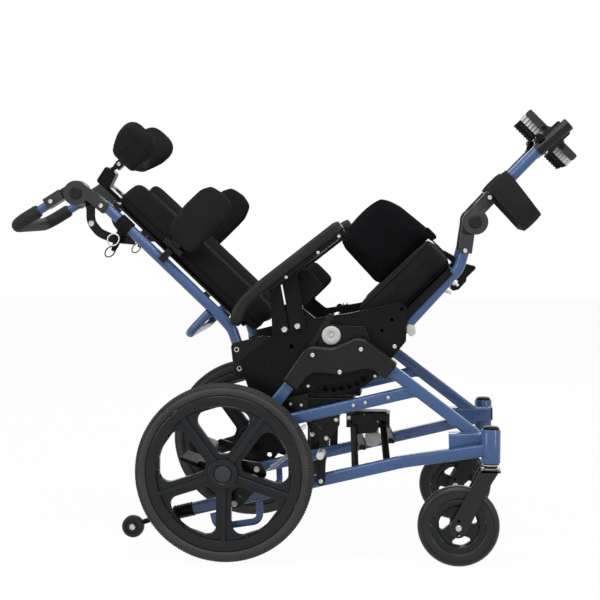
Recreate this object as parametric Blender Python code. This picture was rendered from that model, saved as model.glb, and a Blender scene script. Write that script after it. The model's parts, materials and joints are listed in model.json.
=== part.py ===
"""Tilting stroller chair for a child: base, tilting seat, reclining back and leg rest.

Metres, +Z up, +X forward, +Y to the chair's left. Everything hangs under one empty that
stands on the floor below the rear axle. The seat unit is modelled level and turned back
on its tilt pivot, the back is modelled upright and leans on its recline pivot.
"""
import bpy
import bmesh
from math import asin, atan2, cos, pi, radians, sin, tan
from mathutils import Vector

# Fits
FIT = 0.0003
RUN = 0.0005
LAP = 0.001
CUT = 0.002

# Widths, counted outward from the middle of the seat
SEAT_HALF = 0.145
PLATE_GAP = 0.015
PLATE = 0.008
EAR = 0.0105
FRAME_GAP = 0.0034
COVER_WALL = 0.0105

# Base, measured from the floor below the rear axle
REAR_AXLE_X = -0.12851
REAR_RADIUS = 0.200
REAR_TYRE_WIDTH = 0.040
REAR_TYRE_DEPTH = 0.026
REAR_WEB = 0.016
REAR_HUB_RADIUS = 0.034
REAR_HUB_IN = 0.024
REAR_HUB_OUT = 0.022
REAR_HUB_CHAMFER = 0.004
REAR_HUB_CAP = 0.006
REAR_RIM_INSET = 0.004
REAR_RIM_DEPTH = 0.024
REAR_FLANK = 0.010
REAR_SHOULDER = 0.006
REAR_SHOULDER_IN = 0.004
REAR_TREAD_IN = 0.012
AXLE_RADIUS = 0.006
AXLE_BOSS = 0.0097
SPOKES = 5
REAR_SPOKE = 0.026
REAR_SPOKE_ROOT = 0.016
REAR_SPOKE_TIP = 0.005
REAR_SIDES = 30

CASTER_TRAIL = 0.069
CASTER_RADIUS = 0.090
CASTER_TYRE_WIDTH = 0.032
CASTER_TYRE_DEPTH = 0.030
CASTER_RIM_INSET = 0.003
CASTER_RIM_DEPTH = 0.011
CASTER_FLANK = 0.008
CASTER_SHOULDER = 0.006
CASTER_SHOULDER_IN = 0.003
CASTER_TREAD_IN = 0.009
CASTER_WEB = 0.012
CASTER_SPOKE = 0.012
CASTER_SPOKE_ROOT = 0.006
CASTER_SPOKE_TIP = 0.003
CASTER_HUB_RADIUS = 0.015
CASTER_PIN_RADIUS = 0.005
CASTER_SIDES = 18

HEAD_X = 0.586
HEAD_OUTSET = 0.047
HEAD_RADIUS = 0.021
HEAD_LOW = 0.229
HEAD_TOP = 0.305
HEAD_CAP = 0.010
STEM_RADIUS = 0.0085
STEM_COLLAR = 0.0155
FORK_GAP = 0.042
FORK_WALL = 0.004
FORK_TOP = 0.217
FORK_WIDE = 0.042
FORK_EYE = 0.016

TUBE_WIDE = 0.025
TUBE_TALL = 0.027
TUBE_CHAMFER = 0.005
RAIL_REAR = (-0.077, 0.107)
RAIL_BEND = (0.394, 0.222)
RAIL_SHORT = 0.011
RAIL_FRONT = (HEAD_X - RAIL_SHORT, 0.259)
UPPER_REAR = (0.152, 0.3155)
UPPER_FRONT = (0.425, 0.382)
BRIDGE = ((0.142, 0.392), (0.188, 0.450), (0.245, 0.446), (0.307, 0.464), (0.368, 0.4255))
BRIDGE_BEND = 0.030
DOWN_SHORT = 0.041
DOWN_FOOT = (HEAD_X - DOWN_SHORT, 0.291)
STUB_BEHIND = 0.091
STUB_AHEAD = 0.018
STUB_REAR = (HEAD_X - STUB_BEHIND, 0.272)
STUB_FRONT = (HEAD_X + STUB_AHEAD, 0.276)
STUB_OUTSET = 0.010
STUB_SIZE = 0.034

COVER_TOP = ((0.127, 0.403), (0.172, 0.470), (0.190, 0.481), (0.239, 0.475), (0.288, 0.499),
             (0.310, 0.497), (0.382, 0.442))
COVER_LOW = ((0.355, 0.406), (0.318, 0.434), (0.250, 0.416), (0.190, 0.421), (0.157, 0.379))

AXLE_PLATE = 0.008
AXLE_PLATE_OUTLINE = ((-0.036, 0.104), (0.052, 0.112), (0.092, 0.190), (0.082, 0.216),
                      (0.000, 0.228), (-0.030, 0.212), (-0.026, 0.160))
PEDAL_PIVOT = (0.010, 0.172)
PEDAL_PIN_RADIUS = 0.005
PEDAL_PIN_PROUD = 0.004
PEDAL_ARM = 0.008
PEDAL_INSET = 0.0225
PEDAL_EYE = 0.012
PEDAL_TOE = 0.008
PEDAL_REACH = 0.095
PEDAL_FRONT = (-0.066, 0.201)
PEDAL_TIP = (-0.113, 0.219)
PEDAL_THICK = 0.009

BRAKE_AHEAD = 0.014
BRAKE_RISE = 0.043
BRAKE_LEAN = 0.002
BRAKE_ROLLER_RADIUS = 0.012
BRAKE_ROLLER_REACH = 0.012
BRAKE_ARM = 0.005
BRAKE_PIN_RADIUS = 0.005
BRAKE_EYE = 0.012

ANTI_TIP_PLUG = 0.045
ANTI_TIP_RADIUS = 0.016
ANTI_TIP_ROD = 0.006
ANTI_TIP_ROOT = 0.004
ANTI_TIP_KINK = 0.55
ANTI_TIP_AXLE = (-0.216, 0.064)
ANTI_TIP_ROLLER = 0.025
ANTI_TIP_CHAMFER = 0.004
ANTI_TIP_WIDE = 0.016
ANTI_TIP_PIN = 0.004

BRACE_FEET_X = (0.287, 0.358)
BRACE_TOP_X = (0.274, 0.343)
BRACE_TOP_Z = 0.288
BRACE_BLOCK_TALL = 0.034
BRACE_BLOCK_WIDE = 0.060
BRACE_BAR_WIDE = 0.016
BRACE_BAR_TALL = 0.012
BRACE_SHOE = 0.012

# Seat unit, in its own frame: +X along the seat, +Z off it, origin on the tilt pivot
TILT = radians(45)
PIVOT_X = 0.233
PIVOT_Z = 0.501
PIVOT_PIN = 0.008
PIVOT_HEAD = 0.021
PIVOT_HEAD_THICK = 0.007
PIVOT_PROUD = 0.002
EAR_RADIUS = 0.025
EAR_REAR = 0.040
EAR_FRONT = 0.045
EAR_DROP = 0.065
ARC_RADIUS = 0.136
ARC_FROM = radians(-76)
ARC_TO = radians(-166)
INDEX_RADIUS = 0.122
INDEX_HOLE = 0.0055
INDEX_COUNT = 6
INDEX_FROM = radians(-98.5)
INDEX_STEP = radians(-8.5)
PLATE_FRONT = ((0.067, -0.131), (0.108, -0.127), (0.164, -0.076), (0.160, -0.056), (0.064, 0.006),
               (0.000, 0.052), (-0.006, 0.108), (-0.036, 0.128), (-0.062, 0.106), (-0.100, 0.093))
PLATE_REAR = ((-0.177, 0.105), (-0.177, 0.007))

TUBE_RADIUS = 0.0125
TUBE_SIDES = 10
RAIL_PATH = ((0.098, -0.106), (0.137, -0.103), (0.287, -0.094), (0.330, -0.076))
RAIL_BEND_RADIUS = 0.050
KNEE = (0.404, -0.046)
KNEE_RADIUS = 0.028
KNEE_ARM = 0.036
JOINT_HALF = 0.016
JOINT_PIN = 0.006
BUTTON_RADIUS = 0.013
BUTTON_DEPTH = 0.006
BUTTON_PROUD = 0.004
BUTTON_TRAVEL = 0.003

PAN_S = (0.020, 0.292)
PAN_WING_S = 0.088
PAN_TOP = -0.0765
PAN_THICK = 0.010
TONGUE_THICK = 0.006
TONGUE_WIDE = 0.040
TONGUE_TOP = 0.050
TONGUE_GAP = 0.0035

CUSHION_S = (0.074, 0.300)
CUSHION_LOW = -0.076
CUSHION_EDGE = -0.004
CUSHION_CROWN = 0.008
CUSHION_ROUND = 0.018

POMMEL = ((0.150, 0.0055), (0.157, 0.138), (0.225, 0.147), (0.293, 0.141), (0.309, 0.120),
          (0.319, 0.0055))
POMMEL_HALF = 0.048
POMMEL_ROUND = 0.022

POST = ((-0.031, 0.048), (0.049, 0.1605), (-0.026, 0.1675), (-0.094, 0.094))
POST_THICK = 0.010
ARMREST = ((0.191, 0.148), (0.191, 0.170), (0.060, 0.197), (-0.011, 0.208), (-0.081, 0.199),
           (-0.140, 0.184), (-0.140, 0.162), (-0.081, 0.173), (-0.025, 0.168))
ARMREST_OUTSET = 0.022
ARMREST_WIDE = 0.050
ARMREST_ROUND = 0.006
HIP_S = (-0.010, 0.068)
HIP_T = (0.086, 0.158)
HIP_THICK = 0.028
HIP_GAP = 0.004
HIP_ROUND = 0.011
HIP_BOSS = (0.020, 0.136)
HIP_BOSS_RADIUS = 0.007

# Leg rest, in the seat's frame about the knee pivot
LEG_END = (0.621, -0.030)
LEG_ARM_END = (0.470, -0.041)
FOOT_PIVOT = (0.648, -0.034)
FOOT_CLAMP_S = (0.612, 0.698)
FOOT_PIN_LENGTH = 0.020
FOOT_CLAMP_RADIUS = 0.019
FOOT_S = (0.630, 0.665)
FOOT_T = (-0.102, 0.046)
FOOT_IN = 0.024
FOOT_BEVEL = 0.010
STRAP_S = (0.474, 0.534)
STRAP_DROP = 0.141
STRAP_THICK = 0.009
STRAP_TOP = -0.022
STRAP_CORNER = 0.045

# Back, in its own frame: +Z up the back, origin on the recline pivot
RECLINE_AT = (-0.083, 0.045)
LEAN = radians(1.5)
CANE_A = -0.065
CANE_PATH = ((-0.088, 0.086), (-0.068, 0.125), (CANE_A, 0.163), (CANE_A, 0.528))
CANE_FOOT = ((-0.030, 0.064), (-0.093, 0.104), (-0.143, 0.044), (-0.070, -0.006))
CANE_FOOT_THICK = 0.010
CANE_EYE = 0.018
HANDLE = (-0.089, 0.594)
STANDOFFS = (0.157, 0.220, 0.418, 0.500)
STANDOFF_SIZE = 0.016
PANEL_A = -0.042
PANEL_THICK = 0.005
PANEL_H = (0.110, 0.515)
BACK_H = (0.078, 0.522)
BACK_CENTRE = 0.004
BACK_BOLSTER = 0.026
BACK_EDGE = -0.012
BACK_ROLL = 0.016
BACK_ROUND = 0.024

LATERAL_A = (-0.007, 0.148)
LATERAL_H = (0.300, 0.396)
LATERAL_THICK = 0.034
LATERAL_ROUND = 0.015
LATERAL_GAP = 0.003
LATERAL_POST_A = -0.024
LATERAL_POST_RADIUS = 0.008

U_BAR_H = 0.189
U_BAR_REACH = 0.068
U_BAR_RADIUS = 0.010
U_BAR_CORNER = 0.025

HEAD_PIVOT = (0.008, 0.593)
HEAD_PAD_H = 0.579
HEAD_PAD_TALL = 0.098
HEAD_EYE = 0.010
HEAD_EYE_WIDE = 0.021
HEAD_ARM_TALL = 0.016
HEAD_PAD_THICK = 0.036
HEAD_PAD_CHAMFER = 0.0137
HEAD_HALF = 0.112
HEAD_FLAT_HALF = 0.0806
HEAD_WING = 0.116
HEAD_CURVE = 0.045
HEAD_TIP = 0.0108
HEAD_TAPER = (0.62, 0.88)
HEAD_STEM_WIDE = 0.030
HEAD_STEM_THICK = 0.010
HEAD_STEM_LOW = 0.470

GRIP_START = (-0.168, 0.628)
GRIP_CORNER = (-0.246, 0.651)
PUSH_ARM_SHARE = 0.78
PUSH_RADIUS = 0.0105
GRIP_RADIUS = 0.0155
GRIP_LEAD = 0.009
PUSH_CORNER = 0.045

SIDES = (("right", -1), ("left", 1))
ACROSS = Vector((0, 1, 0))

# Places worked out from the sizes above
PLATE_IN = SEAT_HALF + PLATE_GAP
TUBE_Y = PLATE_IN - FIT - TUBE_RADIUS
PLATE_OUT = PLATE_IN + PLATE
ARMREST_Y = PLATE_OUT + ARMREST_OUTSET
EAR_IN = PLATE_OUT + FIT
EAR_OUT = EAR_IN + EAR
COVER_IN = EAR_OUT + FIT
FRAME_IN = COVER_IN + FRAME_GAP
FRAME_Y = FRAME_IN + TUBE_WIDE / 2
FRAME_OUT = FRAME_IN + TUBE_WIDE
COVER_OUT = FRAME_OUT + COVER_WALL
STUB_Y = FRAME_Y + STUB_OUTSET
HEAD_Y = FRAME_Y + HEAD_OUTSET
PEDAL_ARM_Y = FRAME_IN - PEDAL_INSET
AXLE_PLATE_OUT = FRAME_OUT + FIT + AXLE_PLATE
REAR_WHEEL_Y = AXLE_PLATE_OUT + AXLE_BOSS + RUN + REAR_HUB_IN
BRAKE_ROLLER = (REAR_RADIUS + BRAKE_AHEAD, REAR_RADIUS + BRAKE_RISE)
BRAKE_X = BRAKE_ROLLER[0] - BRAKE_LEAN
BRAKE_ROLLER_END = REAR_WHEEL_Y + BRAKE_ROLLER_REACH
CASTER_X = HEAD_X - CASTER_TRAIL
RIM_RADIUS = REAR_RADIUS - REAR_TYRE_DEPTH
CASTER_RIM = CASTER_RADIUS - CASTER_TYRE_DEPTH
RAIL_SLOPE = (RAIL_BEND[1] - RAIL_REAR[1]) / (RAIL_BEND[0] - RAIL_REAR[0])
JOINT_SPLIT = TUBE_Y
JOINT_OUT = JOINT_SPLIT + JOINT_HALF
TONGUE_S = CUSHION_S[1] + TONGUE_GAP
LATERAL_POST_Y = SEAT_HALF + LATERAL_GAP + LATERAL_THICK / 2


def rail_z(x):
    """Height of the lower rail's centre line at x."""
    return RAIL_REAR[1] + (x - RAIL_REAR[0]) * RAIL_SLOPE


# Materials
def material(name, colour, roughness, metallic=0.0):
    made = bpy.data.materials.new(name)
    made.use_nodes = True
    shader = made.node_tree.nodes["Principled BSDF"]
    shader.inputs["Base Color"].default_value = (*colour, 1.0)
    shader.inputs["Roughness"].default_value = roughness
    shader.inputs["Metallic"].default_value = metallic
    return made


def make_materials():
    return {
        "blue_paint": material("blue_paint", (0.060, 0.115, 0.290), 0.30, 0.2),
        "black_paint": material("black_paint", (0.012, 0.012, 0.013), 0.40, 0.2),
        "black_plastic": material("black_plastic", (0.016, 0.016, 0.017), 0.45),
        "grey_plastic": material("grey_plastic", (0.050, 0.052, 0.056), 0.50),
        "tyre_rubber": material("tyre_rubber", (0.045, 0.042, 0.040), 0.75),
        "black_fabric": material("black_fabric", (0.014, 0.014, 0.015), 0.90),
        "black_foam": material("black_foam", (0.025, 0.026, 0.028), 0.80),
        "armrest_skin": material("armrest_skin", (0.020, 0.020, 0.021), 0.55),
    }


# Shapes
def empty(name, parent, location=(0, 0, 0), turn=0.0):
    """An empty frame, turned about Y, that pieces hang under."""
    made = bpy.data.objects.new(name, None)
    bpy.context.scene.collection.objects.link(made)
    made.parent = parent
    made.location = location
    made.rotation_euler = (0, turn, 0)
    return made


def finish(mesh, name, parent, look, origin=(0, 0, 0)):
    """Turn a bmesh into an object whose origin lies at a point of its parent's frame."""
    bmesh.ops.recalc_face_normals(mesh, faces=mesh.faces)
    bmesh.ops.translate(mesh, vec=-Vector(origin), verts=mesh.verts)
    data = bpy.data.meshes.new(name)
    mesh.to_mesh(data)
    mesh.free()
    data.shade_smooth()
    data.set_sharp_from_angle(angle=radians(35))
    made = bpy.data.objects.new(name, data)
    bpy.context.scene.collection.objects.link(made)
    made.parent = parent
    made.location = origin
    if look:
        data.materials.append(look)
    return made


def boolean(target, mesh, operation):
    """Join or cut a bmesh, given in the target's parent frame, with a live modifier."""
    name = f"{target.name}-{operation.lower()}{len(target.modifiers)}"
    helper = finish(mesh, name, target.parent, None)
    helper.hide_render = True
    helper.display_type = "WIRE"
    modifier = target.modifiers.new(operation.title(), "BOOLEAN")
    modifier.operation = operation
    modifier.solver = "EXACT"
    modifier.object = helper


def weld(target, *meshes):
    for mesh in meshes:
        boolean(target, mesh, "UNION")


def cut(target, *meshes):
    for mesh in meshes:
        boolean(target, mesh, "DIFFERENCE")


def soften(target, width, segments=2):
    """Round a piece's sharp edges."""
    modifier = target.modifiers.new("Bevel", "BEVEL")
    modifier.width = width
    modifier.segments = segments
    modifier.limit_method = "ANGLE"
    modifier.angle_limit = radians(40)


def bridge_rings(mesh, rings, closed=False):
    """Skin rings of equal length; an open stack gets flat end caps."""
    pairs = list(zip(rings, rings[1:]))
    if closed:
        pairs.append((rings[-1], rings[0]))
    for low, high in pairs:
        for k in range(len(low)):
            n = (k + 1) % len(low)
            mesh.faces.new((low[k], low[n], high[n], high[k]))
    if not closed:
        mesh.faces.new(rings[0])
        mesh.faces.new(rings[-1])
    return mesh


def prism(outline, y0, y1):
    """An outline in the XZ plane, drawn out along Y."""
    mesh = bmesh.new()
    rings = [[mesh.verts.new((x, y, z)) for x, z in outline] for y in (y0, y1)]
    return bridge_rings(mesh, rings)


def block(low, high):
    """A box between two corners."""
    (x0, y0, z0), (x1, y1, z1) = low, high
    return prism(((x0, z0), (x1, z0), (x1, z1), (x0, z1)), y0, y1)


def rod(centre, radius, y0, y1, sides=12):
    """A round bar along Y."""
    turns = (2 * pi * (k + 0.5) / sides for k in range(sides))
    return prism([(centre[0] + radius * cos(t), centre[1] + radius * sin(t)) for t in turns], y0, y1)


def eye_outline(centre, radius, start, end, steps=7):
    """Points of an arc about a centre, from one angle to another."""
    angles = (start + (end - start) * k / steps for k in range(steps + 1))
    return [(centre[0] + radius * cos(t), centre[1] + radius * sin(t)) for t in angles]


def slab(p, q, radius_p, radius_q, y0, y1):
    """A flat arm with round ends between two points of the XZ plane."""
    heading = atan2(q[1] - p[1], q[0] - p[0])
    outline = eye_outline(p, radius_p, heading + pi / 2, heading + 3 * pi / 2)
    outline += eye_outline(q, radius_q, heading - pi / 2, heading + pi / 2)
    return prism(outline, y0, y1)


def turned(profile, sides, y, x=0.0, z=0.0, out=1):
    """A closed profile of (radius, offset) turned about a line along Y, flats at the true radius.

    A profile that starts and ends on the axis makes a body with closed ends.
    """
    mesh = bmesh.new()
    grow = 1 / cos(pi / sides)
    solid_ends = profile[0][0] == 0.0

    def ring(radius, offset):
        turns = (2 * pi * (k + 0.5) / sides - pi / 2 for k in range(sides))
        reach = radius * grow
        return [mesh.verts.new((x + reach * cos(t), y + out * offset, z + reach * sin(t))) for t in turns]

    inner = profile[1:-1] if solid_ends else profile
    rings = [ring(radius, offset) for radius, offset in inner]
    for low, high in zip(rings, rings[1:]):
        for k in range(sides):
            n = (k + 1) % sides
            mesh.faces.new((low[k], low[n], high[n], high[k]))
    if solid_ends:
        for end, (_, offset) in ((rings[0], profile[0]), (rings[-1], profile[-1])):
            tip = mesh.verts.new((x, y + out * offset, z))
            for k in range(sides):
                mesh.faces.new((end[k], end[(k + 1) % sides], tip))
    else:
        for k in range(sides):
            n = (k + 1) % sides
            mesh.faces.new((rings[-1][k], rings[-1][n], rings[0][n], rings[0][k]))
    return mesh


def rounded(points, radius, steps=4):
    """A path with its inner corners replaced by arcs."""
    points = [Vector(p) for p in points]
    path = [points[0]]
    for before, here, after in zip(points, points[1:], points[2:]):
        back = (before - here).normalized()
        ahead = (after - here).normalized()
        half = back.angle(ahead) / 2
        reach = min(radius / tan(half), (before - here).length * 0.48, (after - here).length * 0.48)
        centre = here + (back + ahead).normalized() * (reach / cos(half))
        start = here + back * reach - centre
        end = here + ahead * reach - centre
        bend = start.length
        start.normalize()
        end.normalize()
        path += [centre + start.slerp(end, k / steps) * bend for k in range(steps + 1)]
    return path + [points[-1]]


def round_section(radius, sides=TUBE_SIDES):
    return [(radius * cos(2 * pi * k / sides), radius * sin(2 * pi * k / sides)) for k in range(sides)]


def box_section(wide, tall, chamfer):
    """An oblong tube's outline with cut corners."""
    w, t, c = wide / 2, tall / 2, chamfer
    upper = [(w, t - c), (w - c, t), (c - w, t), (-w, t - c)]
    return upper + [(-u, -v) for u, v in upper]


def sweep(path, section, across=ACROSS, sizes=None):
    """A section carried along a path, its first direction kept square to the path beside `across`."""
    mesh = bmesh.new()
    path = [Vector(p) for p in path]
    rings = []
    for k, here in enumerate(path):
        ahead = (path[min(k + 1, len(path) - 1)] - here).normalized()
        behind = (here - path[max(k - 1, 0)]).normalized()
        along = (ahead + behind).normalized()
        side = (across - along * across.dot(along)).normalized()
        up = along.cross(side)
        stretch = 1 / max(0.5, along.dot(ahead if k == 0 else behind))
        size = sizes[k] if sizes else 1.0
        if abs(across.dot(ahead - behind)) > 1e-6:
            wide, tall = stretch, 1.0
        else:
            wide, tall = 1.0, stretch
        side *= wide * size
        up *= tall * size
        rings.append([mesh.verts.new(here + side * u + up * v) for u, v in section])
    return bridge_rings(mesh, rings)


def path_at(y, *points):
    """XZ points as a path at one Y."""
    return [(x, y, z) for x, z in points]


def window(hub, rim, spoke, index):
    """Outline of one opening between two spokes, in a wheel's own plane."""
    middle = 2 * pi * index / SPOKES + pi / 2
    points = []
    for radius, sign, steps in ((hub, 1, 1), (rim, -1, 4)):
        half = pi / SPOKES - asin(spoke / 2 / radius)
        turns = [middle + sign * half * (1 - 2 * k / steps) for k in range(steps + 1)]
        points += [(radius * cos(t), radius * sin(t)) for t in turns]
    return points


def padded(outline, low, high, edge, steps=3, upright=False):
    """A cushion: an outline drawn in toward both ends, along Y or, if upright, along Z."""
    mesh = bmesh.new()
    low, high = sorted((low, high))
    middle = [sum(p[i] for p in outline) / len(outline) for i in (0, 1)]
    reach = [max(abs(p[i] - middle[i]) for p in outline) for i in (0, 1)]
    turns = [pi / 2 * k / steps for k in range(steps + 1)]
    stations = [(low + edge * (1 - cos(t)), 1 - sin(t)) for t in turns]
    stations += [(low + high - place, inset) for place, inset in reversed(stations)]
    rings = []
    for place, inset in stations:
        ring = []
        for point in outline:
            p, q = (middle[i] + (point[i] - middle[i]) * (1 - edge * inset / reach[i]) for i in (0, 1))
            ring.append(mesh.verts.new((p, q, place) if upright else (p, place, q)))
        rings.append(ring)
    return bridge_rings(mesh, rings)


def oblong(across, up):
    """Corners of an upright oblong given by its two ranges."""
    return ((across[0], up[0]), (across[1], up[0]), (across[1], up[1]), (across[0], up[1]))


def flat_rounded(points, radius, steps=3):
    """A closed XZ outline with round corners."""
    loop = [(x, 0, z) for x, z in points]
    path = rounded(loop[-1:] + loop + loop[:1], radius, steps)
    return [(p.x, p.z) for p in path[1:-1]]


# Base
def bridge_path(y):
    """The upper loop of a side frame: rear strut, bridge and down tube."""
    return rounded(path_at(y, UPPER_REAR, *BRIDGE, DOWN_FOOT), BRIDGE_BEND, 2)


def side_frame(base, name, s, looks):
    """Lower rail, upper loop, stub and head tube welded into one side of the base."""
    tube = box_section(TUBE_WIDE, TUBE_TALL, TUBE_CHAMFER)
    y = s * FRAME_Y
    rail = [(RAIL_REAR[0], y, RAIL_REAR[1]), (RAIL_BEND[0], y, RAIL_BEND[1]),
            (RAIL_FRONT[0], s * HEAD_Y, RAIL_FRONT[1])]
    frame = finish(sweep(rail, tube), f"side_frame_{name}", base, looks["blue_paint"])
    loop = bridge_path(y)
    stub = box_section(STUB_SIZE, STUB_SIZE, TUBE_CHAMFER)
    weld(frame,
         sweep(loop, tube),
         sweep(path_at(y, UPPER_REAR, UPPER_FRONT), tube),
         sweep(path_at(s * STUB_Y, STUB_REAR, STUB_FRONT), stub),
         upright_rod((HEAD_X, s * HEAD_Y), HEAD_RADIUS, HEAD_LOW, HEAD_TOP, 20),
         rod((BRAKE_X, rail_z(BRAKE_X)), BRAKE_PIN_RADIUS, y, s * (FRAME_OUT + BRAKE_ARM + 2 * FIT)))
    cut(frame, upright_rod((HEAD_X, s * HEAD_Y), STEM_RADIUS + FIT, HEAD_LOW - HEAD_CAP, HEAD_TOP - HEAD_CAP))


def upright_rod(centre, radius, z0, z1, sides=12):
    """A round bar along Z."""
    mesh = bmesh.new()
    turns = [2 * pi * (k + 0.5) / sides for k in range(sides)]
    rings = [[mesh.verts.new((centre[0] + radius * cos(t), centre[1] + radius * sin(t), z)) for t in turns]
             for z in (z0, z1)]
    return bridge_rings(mesh, rings)


def rocker_cover(base, name, s, looks):
    """Moulded cover that wraps the frame's bridge."""
    shell = prism(COVER_TOP + COVER_LOW, s * COVER_IN, s * COVER_OUT)
    cover = finish(shell, f"rocker_cover_{name}", base, looks["black_plastic"])
    channel = box_section(TUBE_WIDE + 2 * FIT, TUBE_TALL + 2 * FIT, TUBE_CHAMFER)
    cut(cover, sweep(bridge_path(s * FRAME_Y), channel))


def tilt_bracket(base, name, s, looks):
    """Ear that carries the seat's tilt pin, with the pin and its wide head."""
    pivot = (PIVOT_X, PIVOT_Z)
    foot_z = PIVOT_Z - EAR_DROP
    outline = eye_outline(pivot, EAR_RADIUS, pi, 0)
    outline += [(PIVOT_X + EAR_FRONT, foot_z), (PIVOT_X - EAR_REAR, foot_z)]
    ear = prism(outline, s * EAR_IN, s * EAR_OUT)
    bracket = finish(ear, f"tilt_bracket_{name}", base, looks["black_paint"])
    weld(bracket,
         rod(pivot, PIVOT_PIN, s * (PLATE_IN - PIVOT_PROUD), s * EAR_OUT),
         rod(pivot, PIVOT_HEAD, s * (EAR_OUT - LAP), s * (EAR_OUT + PIVOT_HEAD_THICK), 24))


def cross_brace(base, looks):
    """Centre hinge block with four arms down to the lower rails."""
    mid = BRACE_BLOCK_WIDE / 2
    low = BRACE_TOP_Z - BRACE_BLOCK_TALL / 2
    start = (BRACE_TOP_X[0] - BRACE_BAR_WIDE, -mid, low)
    end = (BRACE_TOP_X[1] + BRACE_BAR_WIDE, mid, low + BRACE_BLOCK_TALL)
    brace = finish(block(start, end), "cross_brace", base, looks["black_paint"])
    bar = box_section(BRACE_BAR_WIDE, BRACE_BAR_TALL, BRACE_BAR_TALL / 6)
    seat_y = FRAME_IN - FIT
    half = BRACE_BAR_WIDE / 2
    for top, foot in zip(BRACE_TOP_X, BRACE_FEET_X):
        for _, s in SIDES:
            foot_at = (foot, s * (seat_y - BRACE_SHOE / 2), rail_z(foot))
            path = [(top, s * mid / 2, BRACE_TOP_Z), foot_at]
            shoe = block((foot - half, s * (seat_y - BRACE_SHOE), rail_z(foot) - BRACE_SHOE),
                         (foot + half, s * seat_y, rail_z(foot) + BRACE_SHOE))
            weld(brace, sweep(path, bar, Vector((1, 0, 0))), shoe)


def axle_plate(base, name, s, looks):
    """Plate bolted outside the rail, with the wheel's axle and the pedal's pin."""
    y = FRAME_OUT + FIT
    outer = AXLE_PLATE_OUT
    axle = (0, REAR_RADIUS)
    axle_end = REAR_WHEEL_Y + REAR_HUB_OUT - REAR_HUB_CAP - RUN
    pin_in = PEDAL_ARM_Y - PEDAL_ARM - PEDAL_PIN_PROUD
    flat = prism(AXLE_PLATE_OUTLINE, s * y, s * outer)
    plate = finish(flat, f"axle_plate_{name}", base, looks["black_paint"])
    weld(plate,
         rod(axle, 2 * AXLE_RADIUS, s * (outer - LAP), s * (outer + AXLE_BOSS), 20),
         rod(axle, AXLE_RADIUS, s * outer, s * axle_end),
         rod(PEDAL_PIVOT, PEDAL_PIN_RADIUS, s * pin_in, s * (y + LAP)))


def rear_wheel(base, name, s, looks):
    """Spoked wheel with a blind hub bore, and the tyre round it."""
    hub = empty(f"rear_wheel_axis_{name}", base, (0, s * REAR_WHEEL_Y, REAR_RADIUS))
    web = REAR_WEB / 2
    rim = REAR_TYRE_WIDTH / 2 - REAR_RIM_INSET
    bore = AXLE_RADIUS + RUN
    bore_end = REAR_HUB_OUT - REAR_HUB_CAP
    lip = RIM_RADIUS - REAR_RIM_DEPTH
    profile = [(0.0, REAR_HUB_OUT),
               (REAR_HUB_RADIUS - REAR_HUB_CHAMFER, REAR_HUB_OUT),
               (REAR_HUB_RADIUS, REAR_HUB_OUT - REAR_HUB_CHAMFER),
               (REAR_HUB_RADIUS, web), (lip, web), (lip, rim), (RIM_RADIUS, rim),
               (RIM_RADIUS, -rim), (lip, -rim), (lip, -web), (REAR_HUB_RADIUS, -web),
               (REAR_HUB_RADIUS, -REAR_HUB_IN), (bore, -REAR_HUB_IN), (bore, bore_end), (0.0, bore_end)]
    wheel = finish(turned(profile, REAR_SIDES, 0, out=s), f"rear_wheel_{name}", hub, looks["black_plastic"])
    for k in range(SPOKES):
        hole = window(REAR_HUB_RADIUS + REAR_SPOKE_ROOT, lip - REAR_SPOKE_TIP, REAR_SPOKE, k)
        cut(wheel, prism(hole, -rim, rim))
    flank = REAR_TYRE_WIDTH / 2
    bead = RIM_RADIUS + FIT
    half = [(bead, rim), (bead + REAR_FLANK, flank),
            (REAR_RADIUS - REAR_SHOULDER, flank - REAR_SHOULDER_IN), (REAR_RADIUS, flank - REAR_TREAD_IN)]
    tyre = half + [(r, -o) for r, o in reversed(half)]
    finish(turned(tyre, REAR_SIDES, 0), f"rear_tyre_{name}", hub, looks["tyre_rubber"])


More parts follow.
